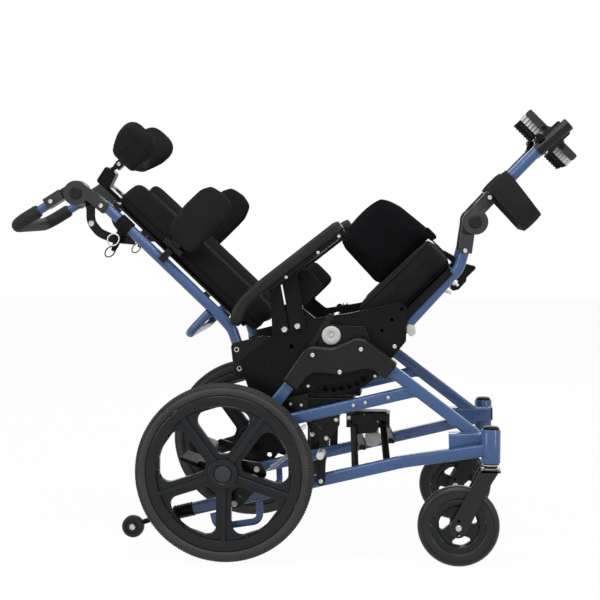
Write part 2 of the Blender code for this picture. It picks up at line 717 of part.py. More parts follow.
def caster(base, name, s, looks):
    """Fork, hub and tyre of one front caster; the fork turns in the head tube."""
    swivel = empty(f"caster_swivel_{name}", base, (HEAD_X, s * HEAD_Y, 0))
    axle_x = CASTER_X - HEAD_X
    half_gap = FORK_GAP / 2
    outer = half_gap + FORK_WALL
    top = FORK_TOP - FORK_WALL
    half = FORK_WIDE / 2
    leg = [(half, FORK_TOP), (-half, FORK_TOP)]
    leg += eye_outline((axle_x, CASTER_RADIUS), FORK_EYE, radians(165), radians(335), 8)
    deck = block((-half, -outer, top), (half, outer, FORK_TOP))
    fork = finish(deck, f"caster_fork_{name}", swivel, looks["black_paint"])
    weld(fork,
         prism(leg, half_gap, outer),
         prism(leg, -outer, -half_gap),
         upright_rod((0, 0), STEM_RADIUS, top, HEAD_TOP - HEAD_CAP - RUN),
         upright_rod((0, 0), STEM_COLLAR, top, HEAD_LOW - FIT, 20),
         rod((axle_x, CASTER_RADIUS), CASTER_PIN_RADIUS, LAP - outer, outer - LAP))
    hub_at = empty(f"caster_axis_{name}", swivel, (axle_x, 0, CASTER_RADIUS))
    bore = CASTER_PIN_RADIUS + RUN
    lip = CASTER_RIM - CASTER_RIM_DEPTH
    web = CASTER_WEB / 2
    rim = CASTER_TYRE_WIDTH / 2 - CASTER_RIM_INSET
    boss = half_gap - RUN
    profile = [(bore, boss), (CASTER_HUB_RADIUS, boss), (CASTER_HUB_RADIUS, web),
               (lip, web), (lip, rim), (CASTER_RIM, rim)]
    profile += [(r, -o) for r, o in reversed(profile)]
    hub = finish(turned(profile, CASTER_SIDES, 0), f"caster_hub_{name}", hub_at, looks["black_plastic"])
    for k in range(SPOKES):
        hole = window(CASTER_HUB_RADIUS + CASTER_SPOKE_ROOT, lip - CASTER_SPOKE_TIP, CASTER_SPOKE, k)
        cut(hub, prism(hole, -rim, rim))
    flank = CASTER_TYRE_WIDTH / 2
    bead = CASTER_RIM + FIT
    side = [(bead, rim), (bead + CASTER_FLANK, flank),
            (CASTER_RADIUS - CASTER_SHOULDER, flank - CASTER_SHOULDER_IN),
            (CASTER_RADIUS, flank - CASTER_TREAD_IN)]
    tyre = side + [(r, -o) for r, o in reversed(side)]
    finish(turned(tyre, CASTER_SIDES, 0), f"caster_tyre_{name}", hub_at, looks["tyre_rubber"])


def anti_tip(base, name, s, looks):
    """Plug that turns in the rail's end, its rod and the little roller."""
    along = Vector((1, 0, RAIL_SLOPE)).normalized()
    end = Vector((RAIL_REAR[0], s * FRAME_Y, RAIL_REAR[1])) - along * RUN
    tail = end - along * ANTI_TIP_PLUG
    axle = Vector((ANTI_TIP_AXLE[0], s * FRAME_Y, ANTI_TIP_AXLE[1]))
    beside = axle - Vector((0, s * (ANTI_TIP_WIDE / 2 + ANTI_TIP_ROD + RUN), 0))
    plug = sweep([end, tail], round_section(ANTI_TIP_RADIUS, 16))
    arm = finish(plug, f"anti_tip_{name}", base, looks["black_plastic"], tail)
    half_way = tail.lerp(beside, ANTI_TIP_KINK)
    half_way.y = beside.y
    weld(arm,
         sweep([tail + along * ANTI_TIP_ROOT, half_way, beside], round_section(ANTI_TIP_ROD, 8)),
         rod(ANTI_TIP_AXLE, ANTI_TIP_PIN, beside.y, axle.y + s * ANTI_TIP_WIDE / 2))
    half = ANTI_TIP_WIDE / 2
    bore = ANTI_TIP_PIN + RUN
    ring = [(bore, half), (ANTI_TIP_ROLLER - ANTI_TIP_CHAMFER, half),
            (ANTI_TIP_ROLLER, half - ANTI_TIP_CHAMFER)]
    ring += [(r, -o) for r, o in reversed(ring)]
    roller = turned(ring, 14, axle.y, axle.x, axle.z)
    finish(roller, f"anti_tip_roller_{name}", base, looks["black_plastic"], axle)


def brake(base, name, s, looks):
    """Foot pedal behind the axle and the roller arm that it pulls onto the tyre."""
    arm_in, arm_out = s * (PEDAL_ARM_Y - PEDAL_ARM), s * PEDAL_ARM_Y
    pivot_at = (PEDAL_PIVOT[0], s * PEDAL_ARM_Y, PEDAL_PIVOT[1])
    lever = slab(PEDAL_PIVOT, PEDAL_FRONT, PEDAL_EYE, PEDAL_TOE, arm_in, arm_out)
    pedal = finish(lever, f"brake_pedal_{name}", base, looks["black_plastic"], pivot_at)
    pad = [PEDAL_FRONT, PEDAL_TIP, *((x, z - PEDAL_THICK) for x, z in (PEDAL_TIP, PEDAL_FRONT))]
    weld(pedal, prism(pad, s * (PEDAL_ARM_Y - PEDAL_REACH), arm_out))
    cut(pedal, rod(PEDAL_PIVOT, PEDAL_PIN_RADIUS + FIT, arm_in - s * CUT, arm_out + s * CUT))
    foot = (BRAKE_X, rail_z(BRAKE_X))
    y0 = FRAME_OUT + FIT
    y1 = y0 + BRAKE_ARM
    foot_at = (BRAKE_X, s * y0, foot[1])
    flat = slab(foot, BRAKE_ROLLER, BRAKE_EYE, BRAKE_EYE, s * y0, s * y1)
    arm = finish(flat, f"brake_arm_{name}", base, looks["black_paint"], foot_at)
    weld(arm, rod(BRAKE_ROLLER, BRAKE_ROLLER_RADIUS, s * (y0 + LAP), s * BRAKE_ROLLER_END, 20))
    cut(arm, rod(foot, BRAKE_PIN_RADIUS + FIT, s * (y0 - CUT), s * (y1 + CUT)))


# Joint discs shared by the knees and the push bar
def fixed_arm(foot, pivot, s):
    """Outer half of a joint: an arm with a disc at the pivot."""
    return slab(foot, pivot, KNEE_ARM / 2, KNEE_RADIUS, s * (JOINT_SPLIT + FIT), s * JOINT_OUT)


def joint_bores(pivot, s):
    """Pin hole and button pocket of the outer half."""
    pocket = JOINT_OUT - BUTTON_DEPTH
    return (rod(pivot, JOINT_PIN + FIT, s * (JOINT_SPLIT - BUTTON_DEPTH), s * (pocket + FIT)),
            rod(pivot, BUTTON_RADIUS + FIT, s * pocket, s * (JOINT_OUT + BUTTON_DEPTH), 20))


def moving_arm(pivot, end, s):
    """Inner half of a joint with the pin that runs through the outer half."""
    disc = slab(pivot, end, KNEE_RADIUS, KNEE_ARM / 2, s * (JOINT_SPLIT - JOINT_HALF), s * JOINT_SPLIT)
    pin = rod(pivot, JOINT_PIN, s * (JOINT_SPLIT - JOINT_HALF / 2), s * (JOINT_OUT - BUTTON_DEPTH - FIT))
    return disc, pin


def joint_button(parent, name, pivot, s, looks):
    """Release button in the outer half's pocket."""
    y0 = s * (JOINT_OUT - BUTTON_DEPTH + BUTTON_TRAVEL + FIT)
    y1 = s * (JOINT_OUT + BUTTON_PROUD)
    cap = rod(pivot, BUTTON_RADIUS, y0, y1, 20)
    finish(cap, name, parent, looks["grey_plastic"], (pivot[0], y0, pivot[1]))


# Seat
def side_plate(seat, name, s, looks):
    """Moulded side with the index arc, the recline sector and the post's tongue."""
    outline = [*PLATE_FRONT, *PLATE_REAR, *eye_outline((0, 0), ARC_RADIUS, ARC_TO, ARC_FROM, 14)]
    flat = prism(outline, s * PLATE_IN, s * PLATE_OUT)
    plate = finish(flat, f"seat_side_plate_{name}", seat, looks["black_plastic"])
    y0, y1 = s * (PLATE_IN - PLATE), s * (PLATE_OUT + PLATE)
    cut(plate,
        rod((0, 0), PIVOT_PIN + FIT, y0, y1),
        rod(RECLINE_AT, JOINT_PIN + FIT, y0, y1))
    for k in range(INDEX_COUNT):
        turn = INDEX_FROM + k * INDEX_STEP
        cut(plate, rod((INDEX_RADIUS * cos(turn), INDEX_RADIUS * sin(turn)), INDEX_HOLE, y0, y1, 10))


def seat_pan(seat, looks):
    """Pan between the side plates, with the pommel's tongue at its front."""
    between = TUBE_Y - TUBE_RADIUS - FIT
    low = PAN_TOP - PAN_THICK
    sheet = block((PAN_S[0], -between, low), (PAN_S[1], between, PAN_TOP))
    pan = finish(sheet, "seat_pan", seat, looks["black_plastic"])
    wing = PLATE_IN - FIT
    half = TONGUE_WIDE / 2
    weld(pan,
         block((PAN_S[0], -wing, low), (PAN_WING_S, wing, PAN_TOP)),
         block((PAN_S[1] - PAN_THICK, -half, low), (TONGUE_S + TONGUE_THICK, half, low + TONGUE_THICK)),
         block((TONGUE_S, -half, low), (TONGUE_S + TONGUE_THICK, half, TONGUE_TOP)))


def seat_cushion(seat, looks):
    """Crowned cushion on the pan."""
    rear, front = CUSHION_S
    middle, half = (rear + front) / 2, (front - rear) / 2
    steps = 8
    crown = [(front - 2 * half * k / steps, 1 - (1 - 2 * k / steps) ** 2) for k in range(steps + 1)]
    top = [(x, CUSHION_EDGE + CUSHION_CROWN * rise) for x, rise in crown]
    belly = (CUSHION_LOW + CUSHION_EDGE) / 2
    low, high = CUSHION_LOW + CUSHION_ROUND, CUSHION_EDGE - CUSHION_ROUND
    outline = [(rear + CUSHION_ROUND, CUSHION_LOW), (middle, CUSHION_LOW),
               (front - CUSHION_ROUND, CUSHION_LOW), (front, low), (front, belly), (front, high)]
    outline += top[1:-1] + [(rear, high), (rear, belly), (rear, low)]
    pad = padded(outline, -SEAT_HALF, SEAT_HALF, CUSHION_ROUND)
    finish(pad, "seat_cushion", seat, looks["black_fabric"])


def pommel(seat, looks):
    """Knee block that lifts off its tongue."""
    outline = flat_rounded(POMMEL, POMMEL_ROUND)
    pad = padded(outline, -POMMEL_HALF, POMMEL_HALF, POMMEL_ROUND)
    made = finish(pad, "pommel", seat, looks["black_fabric"])
    half = TONGUE_WIDE / 2 + FIT
    slot_end = (TONGUE_S + TONGUE_THICK + FIT, half, TONGUE_TOP + FIT)
    cut(made, block((TONGUE_S - FIT, -half, CUSHION_LOW), slot_end))


def seat_rail(seat, name, s, looks):
    """Tube under the seat's edge with the fixed half of the knee joint."""
    path = rounded(path_at(s * TUBE_Y, *RAIL_PATH), RAIL_BEND_RADIUS, 3)
    tube = sweep(path, round_section(TUBE_RADIUS))
    rail = finish(tube, f"seat_rail_{name}", seat, looks["blue_paint"])
    weld(rail, fixed_arm(RAIL_PATH[-1], KNEE, s))
    cut(rail, *joint_bores(KNEE, s))
    joint_button(seat, f"knee_button_{name}", KNEE, s, looks)


def armrest(seat, name, s, looks):
    """Post that slides on the side plate, arm pad and the padded hip guide that it carries."""
    inner = PLATE_OUT + FIT
    flat = prism(POST, s * inner, s * (inner + POST_THICK))
    post = finish(flat, f"armrest_post_{name}", seat, looks["black_plastic"])
    hip_out = PLATE_IN - HIP_GAP
    weld(post, rod(HIP_BOSS, HIP_BOSS_RADIUS, s * (hip_out + FIT), s * (inner + POST_THICK / 2), 12))
    half = ARMREST_WIDE / 2
    arm = prism(ARMREST, s * (ARMREST_Y - half), s * (ARMREST_Y + half))
    pad = finish(arm, f"armrest_pad_{name}", seat, looks["armrest_skin"])
    soften(pad, ARMREST_ROUND)
    outline = flat_rounded(oblong(HIP_S, HIP_T), HIP_ROUND, 2)
    hip = padded(outline, s * hip_out, s * (hip_out - HIP_THICK), HIP_ROUND)
    finish(hip, f"hip_pad_{name}", seat, looks["black_fabric"])


# Leg rest
def leg(seat, name, s, looks):
    """Leg tube with the moving half of the knee joint and the foot clamp, and its footplate."""
    knee_at = (KNEE[0], s * JOINT_SPLIT, KNEE[1])
    bar = sweep(path_at(s * TUBE_Y, LEG_ARM_END, LEG_END), round_section(TUBE_RADIUS))
    tube = finish(bar, f"leg_tube_{name}", seat, looks["blue_paint"], knee_at)
    clamp = path_at(s * TUBE_Y, (FOOT_CLAMP_S[0], LEG_END[1]), (FOOT_CLAMP_S[1], FOOT_PIVOT[1]))
    foot_out = TUBE_Y - FOOT_CLAMP_RADIUS - FIT
    pin_in = foot_out - FOOT_PIN_LENGTH
    weld(tube,
         *moving_arm(KNEE, LEG_ARM_END, s),
         sweep(clamp, round_section(FOOT_CLAMP_RADIUS, 16)),
         rod(FOOT_PIVOT, JOINT_PIN, s * pin_in, s * TUBE_Y))
    sole = block((FOOT_S[0], s * FOOT_IN, FOOT_T[0]), (FOOT_S[1], s * foot_out, FOOT_T[1]))
    pivot_at = (FOOT_PIVOT[0], s * foot_out, FOOT_PIVOT[1])
    plate = finish(sole, f"footplate_{name}", seat, looks["grey_plastic"], pivot_at)
    soften(plate, FOOT_BEVEL)
    cut(plate, rod(FOOT_PIVOT, JOINT_PIN + FIT, s * (pin_in - FIT), s * (foot_out + FOOT_PIN_LENGTH)))


def calf_strap(seat, looks):
    """Padded sling that hangs from both leg tubes."""
    middle = (STRAP_S[0] + STRAP_S[1]) / 2
    y = TUBE_Y + TUBE_RADIUS + FIT + STRAP_THICK / 2
    top, low = STRAP_TOP, -STRAP_DROP + STRAP_THICK / 2
    corners = [(middle, -y, top), (middle, -y, low), (middle, y, low), (middle, y, top)]
    section = box_section(STRAP_S[1] - STRAP_S[0], STRAP_THICK, STRAP_THICK / 3)
    sling = sweep(rounded(corners, STRAP_CORNER, 6), section, Vector((1, 0, 0)))
    finish(sling, "calf_strap", seat, looks["black_fabric"], (KNEE[0], 0, KNEE[1]))


# Back
def back_cane(back, name, s, looks):
    """Cane with its foot, recline pin, panel standoffs, pad bracket and push-bar joint."""
    y = s * TUBE_Y
    tube = sweep(rounded(path_at(y, *CANE_PATH), RAIL_BEND_RADIUS, 3), round_section(TUBE_RADIUS))
    cane = finish(tube, f"back_cane_{name}", back, looks["blue_paint"])
    foot_out = PLATE_IN - FIT
    foot = [*CANE_FOOT, *eye_outline((0, 0), CANE_EYE, radians(-110), radians(40), 8)]
    panel_rear = PANEL_A - PANEL_THICK
    half = STANDOFF_SIZE / 2
    pads = [block((CANE_A, y - half / 2, h - half), (panel_rear - FIT, y + half / 2, h + half))
            for h in STANDOFFS]
    mid_h = (LATERAL_H[0] + LATERAL_H[1]) / 2
    hinge_rear = LATERAL_POST_A - LATERAL_POST_RADIUS - FIT
    bracket = block((CANE_A, s * (SEAT_HALF + LATERAL_GAP), mid_h - half),
                    (hinge_rear, s * (LATERAL_POST_Y + half / 2), mid_h + half))
    weld(cane,
         prism(foot, s * (foot_out - CANE_FOOT_THICK), s * foot_out),
         rod((0, 0), JOINT_PIN, s * (foot_out - CANE_FOOT_THICK / 2), s * PLATE_OUT),
         *pads, bracket,
         fixed_arm(CANE_PATH[-1], HANDLE, s))
    cut(cane, *joint_bores(HANDLE, s))
    joint_button(back, f"handle_button_{name}", HANDLE, s, looks)


def u_bar(back, looks):
    """Bar that ties the canes low down and stands out behind them."""
    root = CANE_A - TUBE_RADIUS - FIT
    end = root - U_BAR_REACH
    corners = ((root, -TUBE_Y), (end, -TUBE_Y), (end, TUBE_Y), (root, TUBE_Y))
    path = rounded([(a, y, U_BAR_H) for a, y in corners], U_BAR_CORNER, 4)
    bar = sweep(path, round_section(U_BAR_RADIUS, 10), Vector((0, 0, 1)))
    finish(bar, "back_u_bar", back, looks["blue_paint"])


def back_panel(back, looks):
    """Flat board that the canes' standoffs carry."""
    board = block((PANEL_A - PANEL_THICK, -SEAT_HALF, PANEL_H[0]), (PANEL_A, SEAT_HALF, PANEL_H[1]))
    finish(board, "back_panel", back, looks["black_plastic"])


def back_cushion(back, looks):
    """Back cushion with two side bolsters and a hollow channel between them."""
    rear = PANEL_A + FIT
    half = [(BACK_EDGE, SEAT_HALF),
            (BACK_BOLSTER - BACK_ROLL, SEAT_HALF - BACK_ROLL),
            (BACK_BOLSTER, SEAT_HALF - 2.5 * BACK_ROLL),
            (BACK_BOLSTER - BACK_ROLL / 2, SEAT_HALF - 4 * BACK_ROLL),
            (BACK_CENTRE, SEAT_HALF - 6 * BACK_ROLL)]
    outline = [(rear, SEAT_HALF), *half, (BACK_CENTRE - BACK_ROLL / 4, 0)]
    outline += [(a, -y) for a, y in reversed(half)] + [(rear, -SEAT_HALF), (rear, 0)]
    pad = padded(outline, *BACK_H, BACK_ROUND, upright=True)
    finish(pad, "back_cushion", back, looks["black_fabric"])


def lateral_pad(back, name, s, looks):
    """Side support that swings outward on an upright hinge."""
    inner = LATERAL_POST_Y - LATERAL_THICK / 2
    outline = flat_rounded(oblong(LATERAL_A, LATERAL_H), LATERAL_ROUND)
    mesh = padded(outline, s * inner, s * (inner + LATERAL_THICK), LATERAL_ROUND)
    mid_h = (LATERAL_H[0] + LATERAL_H[1]) / 2
    hinge = (LATERAL_POST_A, s * LATERAL_POST_Y)
    pad = finish(mesh, f"lateral_pad_{name}", back, looks["black_fabric"], (*hinge, mid_h))
    tall, thin = LATERAL_POST_RADIUS * 2, LATERAL_POST_RADIUS / 2
    leaf_end = (LATERAL_A[0] + LATERAL_ROUND, hinge[1] + thin, mid_h + tall)
    weld(pad,
         upright_rod(hinge, LATERAL_POST_RADIUS, mid_h - 2 * tall, mid_h + 2 * tall),
         block((LATERAL_POST_A, hinge[1] - thin, mid_h - tall), leaf_end))


def headrest(back, looks):
    """Stem that slides behind the panel, and the curved pad that nods on its eye."""
    rear = PANEL_A - PANEL_THICK - FIT
    half = HEAD_STEM_WIDE / 2
    back_face = rear - HEAD_STEM_THICK
    top = HEAD_PIVOT[1] + HEAD_ARM_TALL / 2
    upright = block((back_face, -half, HEAD_STEM_LOW), (rear, half, top))
    stem = finish(upright, "headrest_stem", back, looks["black_paint"])
    weld(stem,
         block((back_face, -half / 2, top - HEAD_ARM_TALL), (HEAD_PIVOT[0], half / 2, top)),
         rod(HEAD_PIVOT, HEAD_EYE, -HEAD_EYE_WIDE / 2, HEAD_EYE_WIDE / 2))
    middle = HEAD_PIVOT[0] + HEAD_EYE + FIT + HEAD_PAD_THICK / 2
    corner = [(HEAD_WING - HEAD_PAD_THICK / 2, -HEAD_HALF), (middle, -HEAD_FLAT_HALF)]
    points = corner + [(a, -y) for a, y in reversed(corner)]
    path = rounded([(a, y, HEAD_PAD_H) for a, y in points], HEAD_CURVE, 5)
    ends = list(HEAD_TAPER)
    sizes = ends + [1.0] * (len(path) + 2 - 2 * len(ends)) + ends[::-1]
    tip = path[0] + (path[0] - path[1]).normalized() * HEAD_TIP
    tail = path[-1] + (path[-1] - path[-2]).normalized() * HEAD_TIP
    section = box_section(HEAD_PAD_TALL, HEAD_PAD_THICK, HEAD_PAD_CHAMFER)
    pad = sweep([tip, *path, tail], section, Vector((0, 0, 1)), sizes)
    finish(pad, "headrest_pad", back, looks["black_fabric"], (HEAD_PIVOT[0], 0, HEAD_PIVOT[1]))


def push_bar(back, looks):
    """U-shaped push bar on two joints, with its foam grip."""
    y = JOINT_SPLIT - JOINT_HALF / 2
    arm_end = Vector(HANDLE).lerp(Vector(GRIP_START), PUSH_ARM_SHARE)
    near = path_at(-y, arm_end, GRIP_START, GRIP_CORNER)
    far = [(a, -b, h) for a, b, h in reversed(near)]
    path = rounded(near + far, PUSH_CORNER, 5)
    lift = Vector((GRIP_START[1] - GRIP_CORNER[1], 0, GRIP_CORNER[0] - GRIP_START[0])).normalized()
    hinge_at = (HANDLE[0], 0, HANDLE[1])
    tube = sweep(path, round_section(PUSH_RADIUS, 8), lift)
    bar = finish(tube, "push_bar", back, looks["blue_paint"], hinge_at)
    for _, s in SIDES:
        weld(bar, *moving_arm(HANDLE, arm_end, s))
    held = [p for p in path if p.x < GRIP_START[0] - GRIP_LEAD]
    foam = sweep(held, round_section(GRIP_RADIUS, 10), lift)
    grip = finish(foam, "push_grip", back, looks["black_foam"], hinge_at)
    cut(grip, sweep(path, round_section(PUSH_RADIUS + FIT, 8), lift))


def build():
    for old in list(bpy.data.objects):
        bpy.data.objects.remove(old, do_unlink=True)
    looks = make_materials()
    base = empty("chair", None, (REAR_AXLE_X, 0, 0))
    seat = empty("seat_unit", base, (PIVOT_X, 0, PIVOT_Z), -TILT)
    back = empty("back_unit", seat, (RECLINE_AT[0], 0, RECLINE_AT[1]), -LEAN)
    for piece in (side_frame, rocker_cover, tilt_bracket, axle_plate, rear_wheel, caster, anti_tip, brake):
        for name, s in SIDES:
            piece(base, name, s, looks)
    cross_brace(base, looks)
    for piece in (side_plate, seat_rail, armrest, leg):
        for name, s in SIDES:
            piece(seat, name, s, looks)
    for piece in (seat_pan, seat_cushion, pommel, calf_strap):
        piece(seat, looks)
    for piece in (back_cane, lateral_pad):
        for name, s in SIDES:
            piece(back, name, s, looks)
    for piece in (u_bar, back_panel, back_cushion, headrest, push_bar):
        piece(back, looks)


build()
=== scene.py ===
# %% [markdown]
# A child's tilting chair on wheels, dressed for its picture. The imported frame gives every
# piece its place, so this lesson only adds what the eye wants: smooth tubes, moulded
# covers, knitted cushions, tread, screws and stitches. First comes the frame, then the
# camera, because every later choice is judged through it.

# %% Load the frame and keep its box
import json
from math import asin, atan2, cos, pi, radians, sin, sqrt, tan

import bmesh
import bpy
import numpy as np
from mathutils import Matrix, Vector
from mathutils.bvhtree import BVHTree
from mathutils.geometry import tessellate_polygon as tessellate

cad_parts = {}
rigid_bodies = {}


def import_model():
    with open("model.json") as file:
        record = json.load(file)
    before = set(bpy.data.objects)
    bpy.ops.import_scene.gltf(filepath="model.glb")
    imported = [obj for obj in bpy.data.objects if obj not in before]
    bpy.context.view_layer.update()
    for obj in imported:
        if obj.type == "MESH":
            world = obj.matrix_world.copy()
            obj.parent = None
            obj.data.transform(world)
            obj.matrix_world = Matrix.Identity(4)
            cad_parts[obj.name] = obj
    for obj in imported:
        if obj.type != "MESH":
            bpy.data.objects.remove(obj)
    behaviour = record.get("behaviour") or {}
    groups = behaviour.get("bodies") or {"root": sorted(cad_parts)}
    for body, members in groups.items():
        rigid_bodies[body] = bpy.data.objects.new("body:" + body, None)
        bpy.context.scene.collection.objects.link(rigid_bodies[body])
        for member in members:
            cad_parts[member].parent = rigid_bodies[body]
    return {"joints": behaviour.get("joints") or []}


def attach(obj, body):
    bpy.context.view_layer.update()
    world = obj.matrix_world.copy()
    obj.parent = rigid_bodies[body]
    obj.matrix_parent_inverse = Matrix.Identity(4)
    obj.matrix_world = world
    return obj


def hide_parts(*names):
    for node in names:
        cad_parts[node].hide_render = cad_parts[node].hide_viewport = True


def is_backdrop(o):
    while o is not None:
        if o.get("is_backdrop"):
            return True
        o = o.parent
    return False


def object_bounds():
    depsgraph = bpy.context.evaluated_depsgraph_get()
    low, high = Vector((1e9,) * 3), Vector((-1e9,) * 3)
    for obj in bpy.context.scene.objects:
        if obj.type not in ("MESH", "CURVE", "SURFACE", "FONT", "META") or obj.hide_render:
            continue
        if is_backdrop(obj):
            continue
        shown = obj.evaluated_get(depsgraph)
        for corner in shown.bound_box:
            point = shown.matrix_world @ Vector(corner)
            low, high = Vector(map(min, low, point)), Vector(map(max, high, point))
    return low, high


for leftover in list(bpy.data.objects):
    bpy.data.objects.remove(leftover, do_unlink=True)
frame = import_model()
cad_low, cad_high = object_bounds()
JOINTS = {joint["name"]: joint for joint in frame["joints"]}
SIDES = (("right", -1), ("left", 1))


def joint_at(name):
    """Where a joint's axis lies, in metres."""
    return Vector(JOINTS[name]["pos_m"])


# %% [markdown]
# The chair is three units, each drawn in its own axes. The base is measured from the floor
# below the rear axle. The seat is measured along and square to its cushion from the tilt
# pivot, and the back up its panel from the recline pivot. A matrix carries each one to the
# chair's own frame, so a piece can be drawn level and still land on its slope.

# %% Axes of the three units
SEAT_TILT = radians(45)
BACK_TILT = radians(46.5)
AXLE = joint_at("rear_wheel_left_spin")
SWIVEL = joint_at("caster_left_swivel")
CASTER_AXLE = joint_at("caster_wheel_left_spin")
BASE = Matrix.Translation((AXLE.x, 0, 0))
SEAT = Matrix.Translation(joint_at("seat_tilt")) @ Matrix.Rotation(-SEAT_TILT, 4, "Y")
BACK = Matrix.Translation(joint_at("back_recline")) @ Matrix.Rotation(-BACK_TILT, 4, "Y")
KNEE = SEAT.inverted() @ joint_at("leg_rest_swing")
HANDLE = BACK.inverted() @ joint_at("push_bar_fold")
print("knee at", [round(v, 3) for v in KNEE], "handle at", [round(v, 3) for v in HANDLE])

# %% [markdown]
# The camera stands at the chair's right, a little ahead of the seat and slightly above it,
# with a long lens. Its place was worked out from the four wheels, whose true circles are
# known. Depth of field stays off.

# %% Camera
EYE = Vector((AXLE.x + 0.4545, -3.3844, 0.7908))
YAW, PITCH = 0.0908, 0.0655
LENS_MM, SENSOR_MM = 86.6, 36.0


def add_object(name, data):
    """A new object in the scene."""
    made = bpy.data.objects.new(name, data)
    bpy.context.scene.collection.objects.link(made)
    return made


camera_data = bpy.data.cameras.new("camera")
camera_data.lens, camera_data.sensor_width = LENS_MM, SENSOR_MM
camera = add_object("camera", camera_data)
gaze = Vector((-sin(YAW) * cos(PITCH), cos(YAW) * cos(PITCH), -sin(PITCH)))
camera.location = EYE
camera.rotation_mode = "QUATERNION"
camera.rotation_quaternion = gaze.to_track_quat("-Z", "Y")
bpy.context.scene.camera = camera
print("camera looks along", [round(v, 3) for v in gaze])

# %% [markdown]
# Finishes are written as sums. The small class below wraps one output of a shader node, so
# that `1 - mask` or `grain * 0.3` adds the Math nodes by itself. Every other node comes from
# one method, `node`, which sets the node's own settings first and its sockets afterwards.

# %% Shader sums
class Sum:
    """One node's output; arithmetic on it adds Math nodes."""

    def __init__(self, owner, socket):
        self.owner, self.socket = owner, socket

    def math(self, operation, first, second=0.0):
        return self.owner.node("ShaderNodeMath", {"operation": operation}, {0: first, 1: second})

    def __add__(self, other):
        return self.math("ADD", self, other)

    def __sub__(self, other):
        return self.math("SUBTRACT", self, other)

    def __rsub__(self, other):
        return self.math("SUBTRACT", other, self)

    def __mul__(self, other):
        return self.math("MULTIPLY", self, other)

    def __abs__(self):
        return self.math("ABSOLUTE", self)

    def sine(self):
        return self.math("SINE", self)

    __radd__, __rmul__ = __add__, __mul__


class Nodes:
    """A node tree in the making."""

    def node(self, kind, settings=None, sockets=None, output=0):
        made = self.tree.nodes.new(kind)
        for label, value in (settings or {}).items():
            if label == "stops":
                for element, (place, grey) in zip(made.color_ramp.elements, value):
                    element.position, element.color = place, (grey, grey, grey, 1.0)
            else:
                setattr(made, label, value)
        for label, value in (sockets or {}).items():
            self.put(made.inputs[label], value)
        return Sum(self, made.outputs[output])

    def put(self, socket, value):
        if isinstance(value, Sum):
            self.tree.links.new(value.socket, socket)
        else:
            socket.default_value = value


# %% [markdown]
# A finish is one material. What is the same all over is set on the shader itself, and only
# what changes over the surface is fed to it through nodes.

# %% A finish
class Finish(Nodes):
    """A material: constants go on the shader, sums are fed to its sockets."""

    slot = None

    def __init__(self, name, colour, roughness, **constants):
        self.material = bpy.data.materials.new(name)
        self.material.use_nodes = True
        self.tree = self.material.node_tree
        self.shader = self.tree.nodes["Principled BSDF"]
        self.shader.inputs["Base Color"].default_value = (*colour, 1.0)
        self.shader.inputs["Roughness"].default_value = roughness
        for label, value in constants.items():
            socket = label.replace("_", " ").title().replace("Ior", "IOR")
            self.shader.inputs[socket].default_value = value
        self.material.diffuse_color = (*colour, 1.0)

    def feed(self, label, value):
        self.put(self.shader.inputs[label], value)
        return self

    def place(self, turn=0.0, kind="Object"):
        """Object coordinates or normals, turned about Y so that a pattern follows a sloping seat."""
        point = self.node("ShaderNodeTexCoord", output=kind)
        turning = {"Vector": point, "Angle": turn}
        return self.node("ShaderNodeVectorRotate", {"rotation_type": "Y_AXIS"}, turning)

    def parts(self, vector):
        """The three numbers of a vector."""
        return [self.node("ShaderNodeSeparateXYZ", None, {0: vector}, output=k) for k in range(3)]

    def noise(self, scale, detail=2.0):
        sockets = {"Vector": self.place(), "Scale": scale, "Detail": detail}
        return self.node("ShaderNodeTexNoise", None, sockets)

    def ramp(self, value, low, high):
        return self.node("ShaderNodeValToRGB", {"stops": ((low, 0.0), (high, 1.0))}, {"Fac": value})

    def blend(self, factor, first, second):
        colours = {0: factor, 6: (*first, 1.0), 7: (*second, 1.0)}
        return self.node("ShaderNodeMix", {"data_type": "RGBA"}, colours, output=2)

    def bump(self, height, strength, depth):
        sockets = {"Height": height, "Strength": strength, "Distance": depth}
        return self.feed("Normal", self.node("ShaderNodeBump", None, sockets))


def shade(colour, factor):
    return tuple(c * factor for c in colour)


# %% [markdown]
# The frame is gloss blue paint on steel tube. Sprayed paint is never quite flat: it has a
# faint orange peel, tiny changes of tone and, on a used chair, dull scuffs. Two noises of
# very different scale give all three. The black parts are satin powder paint. The caster forks
# take a lighter copy of it, with the lamps' light on them painted into its colour. Screws and
# springs are zinc-plated.

# %% Paints and metals
MILLIMETRE = 0.001


def painted(name, colour, roughness, peel, gloss, **coat):
    finish = Finish(name, colour, roughness, specular_ior_level=gloss, **coat)
    cloudy = finish.noise(9.0, 3.0)
    finish.feed("Base Color", finish.blend(cloudy, shade(colour, 0.94), shade(colour, 1.06)))
    scuff = finish.ramp(finish.noise(55.0, 6.0), 0.56, 0.74)
    finish.feed("Roughness", scuff * 0.12 + roughness)
    return finish.bump(finish.noise(peel, 1.0), 0.02, MILLIMETRE)


BLUE = (0.032, 0.074, 0.184)
blue_paint = painted("blue_paint", BLUE, 0.26, 420.0, 0.30, coat_weight=0.35, coat_roughness=0.06)
black_paint = painted("black_paint", (0.0045, 0.0045, 0.0050), 0.24, 900.0, 0.18)
# Painted light: the forks' copy of the black paint is lighter, standing in for the lamps' light and
# highlights on them.
lit_fork_paint = painted("lit_fork_paint", (0.0115, 0.0115, 0.0120), 0.24, 900.0, 0.24)


def bright_metal(name, colour, roughness):
    """Zinc-plated steel: pale, with a fine brushed tone and dull spots."""
    finish = Finish(name, colour, roughness, metallic=0.9)
    tone = finish.noise(160.0, 4.0)
    finish.feed("Base Color", finish.blend(tone, shade(colour, 0.78), shade(colour, 1.1)))
    finish.feed("Roughness", finish.noise(420.0, 2.0) * 0.2 + (roughness - 0.08))
    return finish.bump(finish.noise(1500.0, 1.0), 0.08, MILLIMETRE)


